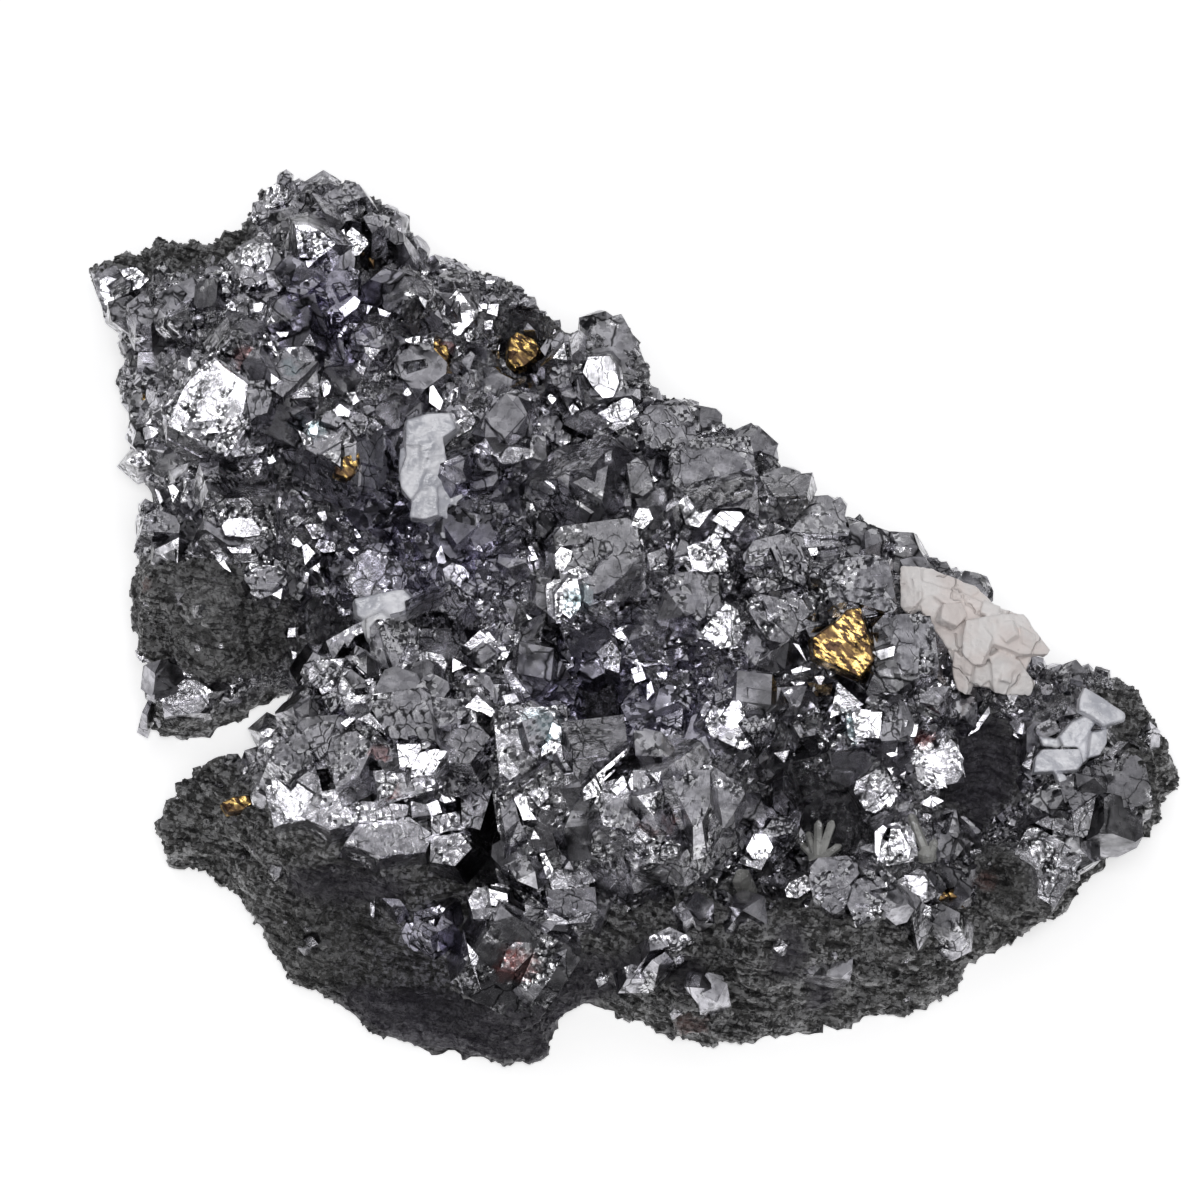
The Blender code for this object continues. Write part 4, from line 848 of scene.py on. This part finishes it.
def crystal_faces():
    chance = random.Random(23)
    form = bmesh.new()
    own = form.verts.layers.float_vector.new("own")
    for outlines, aside, lowest, highest in FACE_KINDS:
        for outline in outlines:
            lean = [chance.uniform(-aside, aside), chance.uniform(lowest, highest)]
            turn = setting(*lean, 0)
            place, depth = clear_place(outline, turn @ Vector((0, 0, 1)), ORE_TREE, FACE_PROUD)
            shift = Vector(chance.uniform(-1, 1) for _ in range(3))
            face_block(form, own, outline, place, turn, depth, chance.uniform(0.05, 0.35), shift)
            wide = max(outline[::2]) - min(outline[::2])
            for _ in range(0 if wide < UNSTEPPED else 1 if wide < NARROW else 3):
                patch = shrunk(outline, chance.randrange(len(outline) // 2), chance.uniform(0.25, 0.6))
                turn = setting(lean[0] + chance.uniform(-2, 2), lean[1] + chance.uniform(-2, 2), 0)
                rise = STEP_RISE * chance.uniform(1, 3)
                at = on_plane(*middle_of(patch), place, setting(*lean, 0) @ Vector((0, 0, 1))) + TOWARD * rise
                face_block(form, own, patch, at, turn, 3 * rise, 0.2, shift)
    bmesh.ops.recalc_face_normals(form, faces=form.faces)
    return as_mesh(form, "crystal_faces")


piece("crystal_faces", crystal_faces(), [], CRYSTAL)


# Druse
# Small crystals of the same mineral, 0.5 to 5 mm, crowded over the plate between the large ones. Geometry
# Nodes scatters four shapes over the ore.
def prototype(name, cut, blocks, seed):
    """One small crystal of half width 1 mm, for the scatter to size."""
    chance = random.Random(seed)
    form = bmesh.new()
    own = form.verts.layers.float_vector.new("own")
    stepped_crystal(form, own, Vector(), Matrix.Identity(3), 1 * MM, cut, chance, blocks)
    return bpy.data.objects.new(name, as_mesh(form, name))


def scatter_tree(shapes, finish=CRYSTAL, spared=("rock", "dark", "taken")):
    """Scatters the shapes over a surface, more of them on its upper side and few where spared."""
    tree = bpy.data.node_groups.new("scatter", "GeometryNodeTree")
    face = tree.interface
    face.new_socket("Geometry", in_out="INPUT", socket_type="NodeSocketGeometry")
    for name, kind in (("Density", "Float"), ("Seed", "Int"), ("Smallest", "Float"), ("Largest", "Float"),
                       ("Lowest", "Float"), ("Full", "Float")):
        face.new_socket(name, in_out="INPUT", socket_type=f"NodeSocket{kind}")
    face.new_socket("Geometry", in_out="OUTPUT", socket_type="NodeSocketGeometry")

    def add(kind, settings, places):
        made = tree.nodes.new(kind)
        for name, value in settings.items():
            setattr(made, name, value)
        for name, value in places.items():
            if isinstance(value, bpy.types.NodeSocket):
                tree.links.new(value, made.inputs[name])
            else:
                made.inputs[name].default_value = value
        return made

    given = add("NodeGroupInput", {}, {}).outputs
    normal = add("GeometryNodeInputNormal", {}, {}).outputs[0]
    upward = add("ShaderNodeSeparateXYZ", {}, {0: normal}).outputs["Z"]
    height = add("ShaderNodeSeparateXYZ", {}, {0: add("GeometryNodeInputPosition", {}, {}).outputs[0]}).outputs["Z"]
    high = add("ShaderNodeMapRange", {}, {0: height, 1: given["Lowest"], 2: given["Full"]}).outputs[0]
    facing = add("ShaderNodeMapRange", {}, {0: upward, 1: -0.5, 2: 0.4}).outputs[0]
    chosen = add("ShaderNodeMath", {"operation": "MULTIPLY"}, {0: high, 1: facing}).outputs[0]
    for name in spared:
        zone = add("GeometryNodeInputNamedAttribute", {"data_type": "FLOAT"}, {"Name": name}).outputs[0]
        bare = add("ShaderNodeMapRange", {}, {0: zone, 1: 0.2, 2: 0.8, 3: 1.0, 4: 0.02}).outputs[0]
        chosen = add("ShaderNodeMath", {"operation": "MULTIPLY"}, {0: chosen, 1: bare}).outputs[0]
    patchy = add("ShaderNodeTexNoise", {}, {"Scale": 130.0, "Detail": 2.0}).outputs[0]
    patchy = add("ShaderNodeMapRange", {}, {0: patchy, 1: 0.38, 2: 0.58, 3: 0.25}).outputs[0]
    chosen = add("ShaderNodeMath", {"operation": "MULTIPLY"}, {0: chosen, 1: patchy}).outputs[0]
    density = add("ShaderNodeMath", {"operation": "MULTIPLY"}, {0: chosen, 1: given["Density"]}).outputs[0]
    scattered_on = add("GeometryNodeDistributePointsOnFaces", {}, {
        "Mesh": given["Geometry"], "Density": density, "Seed": given["Seed"]}).outputs
    joined = tree.nodes.new("GeometryNodeGeometryToInstance")
    for shape in reversed(shapes):
        source = add("GeometryNodeObjectInfo", {}, {"Object": shape})
        tree.links.new(source.outputs["Geometry"], joined.inputs[0])
    turn = add("FunctionNodeRandomValue", {"data_type": "FLOAT_VECTOR"}, {
        "Max": (math.tau, math.tau, math.tau), "Seed": given["Seed"]}).outputs[0]
    even = add("FunctionNodeRandomValue", {"data_type": "FLOAT"}, {"Seed": 7}).outputs[1]
    few = add("ShaderNodeMath", {"operation": "POWER"}, {0: even, 1: 1.8}).outputs[0]
    size = add("ShaderNodeMapRange", {}, {0: few, 3: given["Smallest"], 4: given["Largest"]}).outputs[0]
    sunk = add("ShaderNodeMath", {"operation": "MULTIPLY"}, {0: size, 1: -0.22}).outputs[0]
    sunk = add("ShaderNodeVectorMath", {"operation": "SCALE"}, {
        0: scattered_on["Normal"], "Scale": sunk}).outputs[0]
    points = add("GeometryNodeSetPosition", {}, {
        "Geometry": scattered_on["Points"], "Offset": sunk}).outputs[0]
    uneven = add("FunctionNodeRandomValue", {"data_type": "FLOAT_VECTOR"}, {
        "Min": (0.36 / MM, 0.36 / MM, 0.36 / MM), "Max": (0.62 / MM, 0.62 / MM, 0.62 / MM), "Seed": 9}).outputs[0]
    size = add("ShaderNodeVectorMath", {"operation": "SCALE"}, {0: uneven, "Scale": size}).outputs[0]
    copies = add("GeometryNodeInstanceOnPoints", {}, {
        "Points": points, "Instance": joined.outputs[0], "Pick Instance": True, "Rotation": turn,
        "Scale": size}).outputs[0]
    apart = add("FunctionNodeRandomValue", {"data_type": "FLOAT_VECTOR"}, {"Seed": 5}).outputs[0]
    shifted = add("GeometryNodeStoreNamedAttribute", {"data_type": "FLOAT_VECTOR", "domain": "INSTANCE"}, {
        "Geometry": copies, "Name": "shift", "Value": apart}).outputs[0]
    real = add("GeometryNodeRealizeInstances", {}, {"Geometry": shifted}).outputs[0]
    dressed = add("GeometryNodeSetMaterial", {}, {"Geometry": real, "Material": finish}).outputs[0]
    add("NodeGroupOutput", {}, {0: dressed})
    return tree


def scattered(name, tree, surface, **sizes):
    """The mesh that the tree makes on a surface with these sizes."""
    holder = put_in_scene(name, surface.data)
    nodes = holder.modifiers.new("scatter", "NODES")
    nodes.node_group = tree
    for item in tree.interface.items_tree:
        if item.in_out == "INPUT" and item.name in sizes:
            nodes[item.identifier] = sizes[item.name]
    return shaped(holder)


TAKEN_EDGE, TAKEN_MARGIN = 8, 7
LARGE_PLACES = [row[:3] for row in SQUARE_ON + CORNER_ON]


def mark_taken(mesh):
    """Marks how far each point of the ground is covered by a large crystal or a face, so that none grow there."""
    points = np.empty(len(mesh.vertices) * 3)
    mesh.vertices.foreach_get("co", points)
    places = in_picture(points.reshape(-1, 3))
    outlines = [corners_of(outline) for kind in FACE_KINDS for outline in kind[0]]
    taken = within(places, outlines, TAKEN_EDGE, TAKEN_MARGIN)
    for across, down, width in LARGE_PLACES:
        away = np.hypot(places[:, 0] - across, places[:, 1] - down) / (width / 2)
        taken = np.maximum(taken, np.clip((1.0 - away) / 0.2, 0, 1))
    mesh.attributes.new("taken", "FLOAT", "POINT").data.foreach_set("value", taken)


mark_taken(ground.data)
shapes = [
    prototype("cut_cube", 2.6, 1, 3), prototype("cubo_octahedron", 2.0, 0, 4),
    prototype("cube_pair", 2.0, 2, 5), prototype("octahedral", 1.6, 0, 6),
]
medium = scattered(
    "druse", scatter_tree(shapes), ground, Density=3.4e5, Seed=3, Smallest=1.5 * MM, Largest=4.6 * MM,
    Lowest=4 * MM, Full=8 * MM,
)
fine = scattered(
    "fine_druse", scatter_tree(shapes[1:2]), ground, Density=2.6e6, Seed=8, Smallest=0.6 * MM,
    Largest=1.9 * MM, Lowest=1.0 * MM, Full=8 * MM,
)
piece("druse", medium, [], CRYSTAL)
piece("fine_druse", fine, [], CRYSTAL)
for shape in shapes:
    bpy.data.objects.remove(shape)


# Flakes
# Loose-looking cleavage chips of the ore, 0.3 to 1 mm, that cover all of the broken ore between the crystals.
FLAKE_HALVES = (1.0 * MM, 0.8 * MM, 0.45 * MM)


def flake():
    form = bmesh.new()
    own = form.verts.layers.float_vector.new("own")
    block(form, own, Vector(), Matrix.Identity(3), FLAKE_HALVES, 3, Vector(), Vector())
    return bpy.data.objects.new("flake", as_mesh(form, "flake"))


chip = flake()
for name, seed in (("ore_flakes", 21), ("ore_chips", 34)):
    chips = scattered(
        name, scatter_tree([chip], ORE, spared=("taken",)), ground, Density=3.5e6, Seed=seed,
        Smallest=0.35 * MM, Largest=1.0 * MM, Lowest=0.7 * MM, Full=2 * MM,
    )
    piece(name, chips, [], ORE)
bpy.data.objects.remove(chip)


# Quartz
# Milky quartz: a column of blocks with rounded edges in the middle of the plate, a wedge left below it, and
# the blades of a spray at the right. A fan, a blade and two needles near the front are smokier.
# Each row is a lean to the right and up, a lift in mm, and an outline in the picture.
COLUMN = [
    (0, 3, 0.9, 407, 420, 428, 414, 450, 413, 456, 428, 440, 440, 420, 445, 405, 445),
    (-3, 2, 0.8, 405, 445, 420, 443, 425, 470, 419, 490, 411, 500, 401, 487, 400, 473, 406, 455),
    (8, -6, 0.5, 420, 443, 444, 440, 448, 478, 436, 489, 416, 489, 422, 465),
    (-4, 4, 0.4, 414, 486, 437, 486, 438, 515, 425, 519, 410, 517, 412, 500),
    (14, -6, 0.4, 435, 487, 446, 477, 460, 484, 466, 492, 460, 510, 450, 518, 437, 515),
    (0, 10, 0.6, 443, 517, 459, 509, 461, 517, 451, 522), (6, -12, 0.4, 451, 519, 460, 521, 465, 533, 453, 535),
    (-8, 8, 0.9, 439, 532, 448, 532, 461, 546, 459, 551, 443, 542),
    (4, 6, 0.9, 459, 537, 468, 537, 475, 546, 467, 551), (-10, 0, 0.3, 400, 450, 407, 446, 404, 470, 398, 480),
    (0, -8, 0.2, 424, 515, 440, 516, 448, 530, 430, 528),
]
WEDGE = [
    (0, 6, 0.8, 355, 599, 383, 593, 403, 589, 413, 599, 410, 609, 389, 620, 366, 620, 357, 615),
    (-2, 2, 1.1, 366, 619, 381, 612, 390, 619, 379, 628, 376, 641, 367, 638),
    (-12, 4, 0.5, 360, 622, 367, 620, 372, 644, 375, 650, 366, 640),
]
SPRAY = [
    (2, 10, 1.0, 1080, 699, 1085, 687, 1097, 694, 1116, 707, 1125, 713, 1125, 719, 1104, 725, 1091, 715, 1079, 710),
    (0, 10, 1.0, 1034, 772, 1036, 757, 1043, 749, 1080, 749, 1083, 762, 1077, 770),
    (-4, 0, 0.4, 1040, 737, 1059, 740, 1059, 748, 1043, 746),
    (0, 2, 0.3, 1059, 737, 1073, 722, 1087, 715, 1096, 721, 1089, 733, 1080, 747, 1064, 747),
    (4, 4, 0.6, 1092, 733, 1107, 729, 1107, 743, 1100, 755, 1088, 758),
    (-8, 6, 0.3, 1078, 748, 1088, 735, 1090, 757, 1082, 764), (4, 6, 0.5, 1056, 773, 1065, 775, 1077, 795, 1065, 803),
]


QUARTZ_CLOUDS = [(428, 430, 30), (411, 470, 22), (430, 495, 16), (376, 625, 22), (1100, 702, 24), (1058, 760, 26)]


def quartz_finish(name, dark, light, see_through):
    """Cloudy quartz: veils and bubbles inside, faint growth lines across, and white bruises."""
    finish = Finish(name)
    where = finish.place
    cloud = finish.noise(where, 420, 5, 0.6).between(0.36, 0.64)
    bruise = finish.noise(where, 1300, 4, 0.7).between(0.58, 0.68)
    colour = finish.mix(cloud, dark, light)
    colour = finish.mix(bruise * 0.6, colour, (0.95, 0.95, 0.97))
    colour = finish.mix(finish.spots(QUARTZ_CLOUDS) * 0.8, colour, (0.98, 0.98, 1.0))
    dirt = finish.noise(where, 700, 4, 0.7).between(0.64, 0.74)
    colour = finish.mix(dirt * 0.4, colour, (0.16, 0.16, 0.16))
    lines = finish.noise(finish.vector("MULTIPLY", where, (500.0, 500.0, 2600.0)), 1, 3)
    bump = finish.node("ShaderNodeBump", {}, {
        "Strength": 0.5, "Distance": 0.0002, "Height": lines + finish.noise(where, 1100, 4) * 0.8})
    return finish.set(
        Base_Color=colour, Roughness=0.20 + cloud * 0.14 + bruise * 0.2, Normal=bump, IOR=1.544,
        Transmission_Weight=see_through,
    )


def grown(name, rows, depth, splay, step=0, ripple=0):
    """Blocks of one mineral from such rows. Where it has a step, they are fused at it and rippled by noise."""
    form = bmesh.new()
    own = form.verts.layers.float_vector.new("own")
    for lean_right, lean_up, lift, *outline in rows:
        place = seen(*middle_of(outline), WHOLE_TREE) + TOWARD * lift * MM
        face_block(form, own, outline, place, setting(lean_right, lean_up, 0), depth, splay, Vector())
    bmesh.ops.recalc_face_normals(form, faces=form.faces)
    holder = put_in_scene(name, as_mesh(form, name))
    if step:
        fuse = holder.modifiers.new("Fuse", "REMESH")
        fuse.mode = "VOXEL"
        fuse.voxel_size = step
        fuse.use_smooth_shade = True
        soften = holder.modifiers.new("Soften", "SMOOTH")
        soften.factor = 0.5
        soften.iterations = 2
    else:
        bevel = holder.modifiers.new("Bevel", "BEVEL")
        bevel.width = 0.12 * MM
        bevel.segments = 2
    made = shaped(holder)
    if ripple:
        normals = [vertex.normal.copy() for vertex in made.vertices]
        for vertex, normal in zip(made.vertices, normals):
            wave = noise.noise(vertex.co / (1.3 * MM)) + 0.5 * noise.noise(vertex.co / (0.5 * MM))
            vertex.co += normal * wave * ripple
    return made


MILKY = quartz_finish("milky_quartz", (0.58, 0.59, 0.65), (0.94, 0.94, 0.99), 0.12)
SMOKY = quartz_finish("smoky_quartz", (0.24, 0.24, 0.23), (0.46, 0.46, 0.44), 0.2)
piece("quartz_column", grown("quartz_column", COLUMN, 4 * MM, 0.12, 0.13 * MM, 0.10 * MM),
      ["quartz_prism"], MILKY)
piece("quartz_wedge_block", grown("quartz_wedge_block", WEDGE, 3 * MM, 0.15, 0.16 * MM, 0.10 * MM),
      ["quartz_wedge"], MILKY)
piece("quartz_spray_blades", grown("quartz_spray_blades", SPRAY, 1.6 * MM, 0.1, 0.11 * MM, 0.05 * MM),
      ["quartz_spray"], MILKY)
for node in ("quartz_fan", "quartz_blade", "quartz_needles"):
    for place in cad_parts[node].material_slots:
        place.material = SMOKY


# Calcite
# A cream and pale pink rosette of curved plates, each about a millimetre thick, with brown in the joints.
CALCITE_PLATES = [
    (0, 0, -1.6, 912, 578, 970, 596, 1010, 620, 1034, 650, 1020, 684, 990, 688, 962, 684, 948, 650, 922, 612),
    (-24, 14, 0.6, 900, 566, 920, 566, 921, 598, 908, 614, 900, 606),
    (6, 30, 1.0, 918, 568, 932, 568, 980, 588, 978, 592, 950, 606, 940, 600, 920, 586),
    (-4, 24, 0.4, 956, 600, 980, 591, 1000, 608, 1022, 614, 1006, 616, 952, 622, 940, 618),
    (10, -24, 0.5, 930, 602, 946, 610, 954, 612, 946, 620, 936, 620),
    (18, 8, 0.9, 980, 618, 1002, 614, 1024, 614, 1050, 650, 1048, 655, 1020, 654, 996, 644, 988, 630),
    (-16, 0, 1.4, 966, 620, 980, 620, 992, 638, 982, 665, 972, 664, 962, 654, 963, 636),
    (-24, 10, 0.8, 940, 624, 956, 624, 963, 638, 960, 649, 950, 648, 940, 640),
    (12, -22, 0.7, 992, 644, 1002, 649, 996, 656, 988, 652),
    (14, -14, 0.9, 990, 657, 1002, 652, 1020, 662, 1036, 684, 1030, 696, 1012, 695, 995, 693),
    (-12, -20, 0.9, 974, 668, 992, 664, 994, 676, 980, 688, 972, 678),
    (-26, -8, 0.5, 954, 652, 972, 664, 970, 680, 966, 696, 958, 692, 952, 672),
    (24, 20, 1.3, 944, 604, 962, 603, 968, 616, 958, 626, 942, 618),
    (-8, 26, 1.6, 984, 600, 1001, 606, 996, 616, 980, 612),
    (-20, 16, 1.5, 1000, 622, 1012, 620, 1016, 634, 1006, 642, 998, 634),
    (20, -10, 1.4, 1022, 628, 1036, 636, 1034, 648, 1022, 644),
    (26, 4, 1.2, 1004, 664, 1014, 668, 1012, 684, 1002, 680),
]


def calcite_finish():
    finish = Finish("calcite_finish")
    where = finish.place
    colour = finish.mix(finish.noise(where, 260, 3).between(0.4, 0.62), (1.0, 0.965, 0.95), (0.95, 0.87, 0.84))
    bent = finish.vector("ADD", where, finish.vector("SCALE", finish.noise_colour(where, 500), 0.002))
    edges = finish.cells(bent, 230, "EUCLIDEAN", "DISTANCE_TO_EDGE", "Distance")
    joints = (1 - edges.between(0.0, 0.04)) * finish.noise(where, 300, 2).between(0.52, 0.58)
    colour = finish.mix(joints * 0.25, colour, (0.60, 0.50, 0.45))
    specks = finish.noise(where, 1500, 3, 0.7).between(0.66, 0.74)
    colour = finish.mix(specks * 0.4, colour, (0.25, 0.22, 0.20))
    bump = finish.node("ShaderNodeBump", {}, {
        "Strength": 0.9, "Distance": 0.0002, "Height": finish.noise(where, 1300, 6, 0.65) - joints})
    return finish.set(
        Base_Color=colour, Roughness=0.34 + finish.noise(where, 600, 3) * 0.2, Normal=bump, IOR=1.6,
        Transmission_Weight=0.08,
    )


piece("calcite_plates", grown("calcite_plates", CALCITE_PLATES, 1.3 * MM, 0.10, 0.13 * MM, 0.13 * MM),
      ["calcite_blades"], calcite_finish())


# Chalcopyrite
# Brassy metal: one crystal with a flat streaked face right of the middle, and small grains in the ore.
CHALCOPYRITE_FACE = [
    (-3, 6, 0.9, 812, 638, 838, 620, 846, 610, 860, 608, 868, 636, 874, 660, 860, 677, 840, 668, 814, 656),
]
CHALCOPYRITE_GRAINS = [
    (0, 13, 0.5, 508, 349, 511, 337, 517, 332, 533, 339, 539, 347, 536, 356, 525, 365, 515, 368, 508, 360),
    (3, 14, 0.9, 336, 462, 347, 455, 359, 453, 359, 462, 353, 475, 347, 478, 335, 473),
    (0, 3, 0.9, 368, 244, 374, 249, 374, 268, 369, 260), (0, 2, 0.9, 434, 341, 440, 339, 440, 346, 435, 347),
    (4, 16, 0.7, 433, 347, 447, 344, 449, 357, 439, 367, 433, 357), (0, 2, 0.9, 142, 398, 150, 398, 148, 406),
    (-3, 14, 0.9, 221, 803, 233, 797, 248, 795, 253, 803, 243, 809, 227, 812),
    (3, 2, 0.9, 932, 894, 944, 892, 949, 897, 940, 901), (-2, 3, 0.9, 951, 900, 958, 899, 964, 907, 955, 906),
    (8, 14, 0.7, 943, 885, 955, 888, 962, 897, 951, 898),
]


def chalcopyrite_finish():
    finish = Finish("chalcopyrite_finish")
    own = finish.node("ShaderNodeAttribute", {"attribute_name": "own"}, {}, "Vector")
    slanting = finish.node("ShaderNodeMapping", {"vector_type": "TEXTURE"}, {
        "Vector": own, "Rotation": (0.0, 0.0, math.radians(-35)), "Scale": (1.0, 0.33, 1.0)})
    streaks = finish.noise(slanting, 640, 5, 0.6)
    colour = finish.mix(streaks.between(0.47, 0.54), (0.05, 0.03, 0.02), (0.74, 0.50, 0.18))
    tarnish = finish.noise(own, 500, 4).between(0.48, 0.62)
    colour = finish.mix(tarnish * 0.9, colour, (0.13, 0.08, 0.045))
    normal = mosaic(finish, own, 0.45)
    bump = finish.node("ShaderNodeBump", {}, {
        "Strength": 0.6, "Distance": 0.0002, "Height": streaks, "Normal": normal})
    return finish.set(Base_Color=colour, Metallic=1.0, Roughness=0.24 + tarnish * 0.2, Normal=bump)


BRASSY = chalcopyrite_finish()
piece("chalcopyrite_crystal", grown("chalcopyrite_crystal", CHALCOPYRITE_FACE, 3 * MM, 0.15),
      ["chalcopyrite_large"], BRASSY)
piece("chalcopyrite_grains", grown("chalcopyrite_grains", CHALCOPYRITE_GRAINS, 1.4 * MM, 0.25),
      ["chalcopyrite_small"], BRASSY)


# Table and light
# A white table, one large soft light just above the viewer, and white walls all round that are brightest
# high at the back.
TABLE_WIDTH = 3
TABLE_TOP = -0.00005
HIGH_AT_THE_BACK = (0, 0.5, 0.866)
WALL_LEVELS = [(0.0, 0.12), (0.5, 0.21), (0.86, 0.50), (1.0, 0.62)]


def table():
    bpy.ops.mesh.primitive_plane_add(size=TABLE_WIDTH, location=(0, 0, TABLE_TOP))
    made = bpy.context.object
    made.name = "table"
    finish = bpy.data.materials.new("table_finish")
    finish.use_nodes = True
    shader = finish.node_tree.nodes["Principled BSDF"]
    shader.inputs["Base Color"].default_value = (0.9, 0.9, 0.9, 1)
    shader.inputs["Roughness"].default_value = 0.9
    shader.inputs["Emission Color"].default_value = (1, 1, 1, 1)
    shader.inputs["Emission Strength"].default_value = 0.50
    made.data.materials.append(finish)


def soft_light(name, away, size, watts, aim=Vector((0, 0, 0.01))):
    data = bpy.data.lights.new(name, "AREA")
    data.shape = "SQUARE"
    data.size = size
    data.energy = watts
    made = put_in_scene(name, data)
    made.location = aim + away
    made.rotation_euler = away.to_track_quat("Z", "Y").to_euler()


def surroundings():
    """White walls that are paler high at the back than beside or behind the viewer."""
    world = bpy.data.worlds.new("studio")
    bpy.context.scene.world = world
    world.use_nodes = True
    nodes, links = world.node_tree.nodes, world.node_tree.links
    shader = nodes["Background"]
    place = nodes.new("ShaderNodeTexCoord")
    toward_back = nodes.new("ShaderNodeVectorMath")
    toward_back.operation = "DOT_PRODUCT"
    toward_back.inputs[1].default_value = HIGH_AT_THE_BACK
    ramp = nodes.new("ShaderNodeValToRGB")
    links.new(place.outputs["Generated"], toward_back.inputs[0])
    links.new(toward_back.outputs["Value"], ramp.inputs[0])
    links.new(ramp.outputs[0], shader.inputs["Color"])
    while len(ramp.color_ramp.elements) < len(WALL_LEVELS):
        ramp.color_ramp.elements.new(1)
    for element, (position, level) in zip(ramp.color_ramp.elements, WALL_LEVELS):
        element.position = position
        element.color = (level, level, level * 1.02, 1)


table()
surroundings()
soft_light("key_light", away=TOWARD * 0.75 + UP * 0.03, size=0.30, watts=2.2)
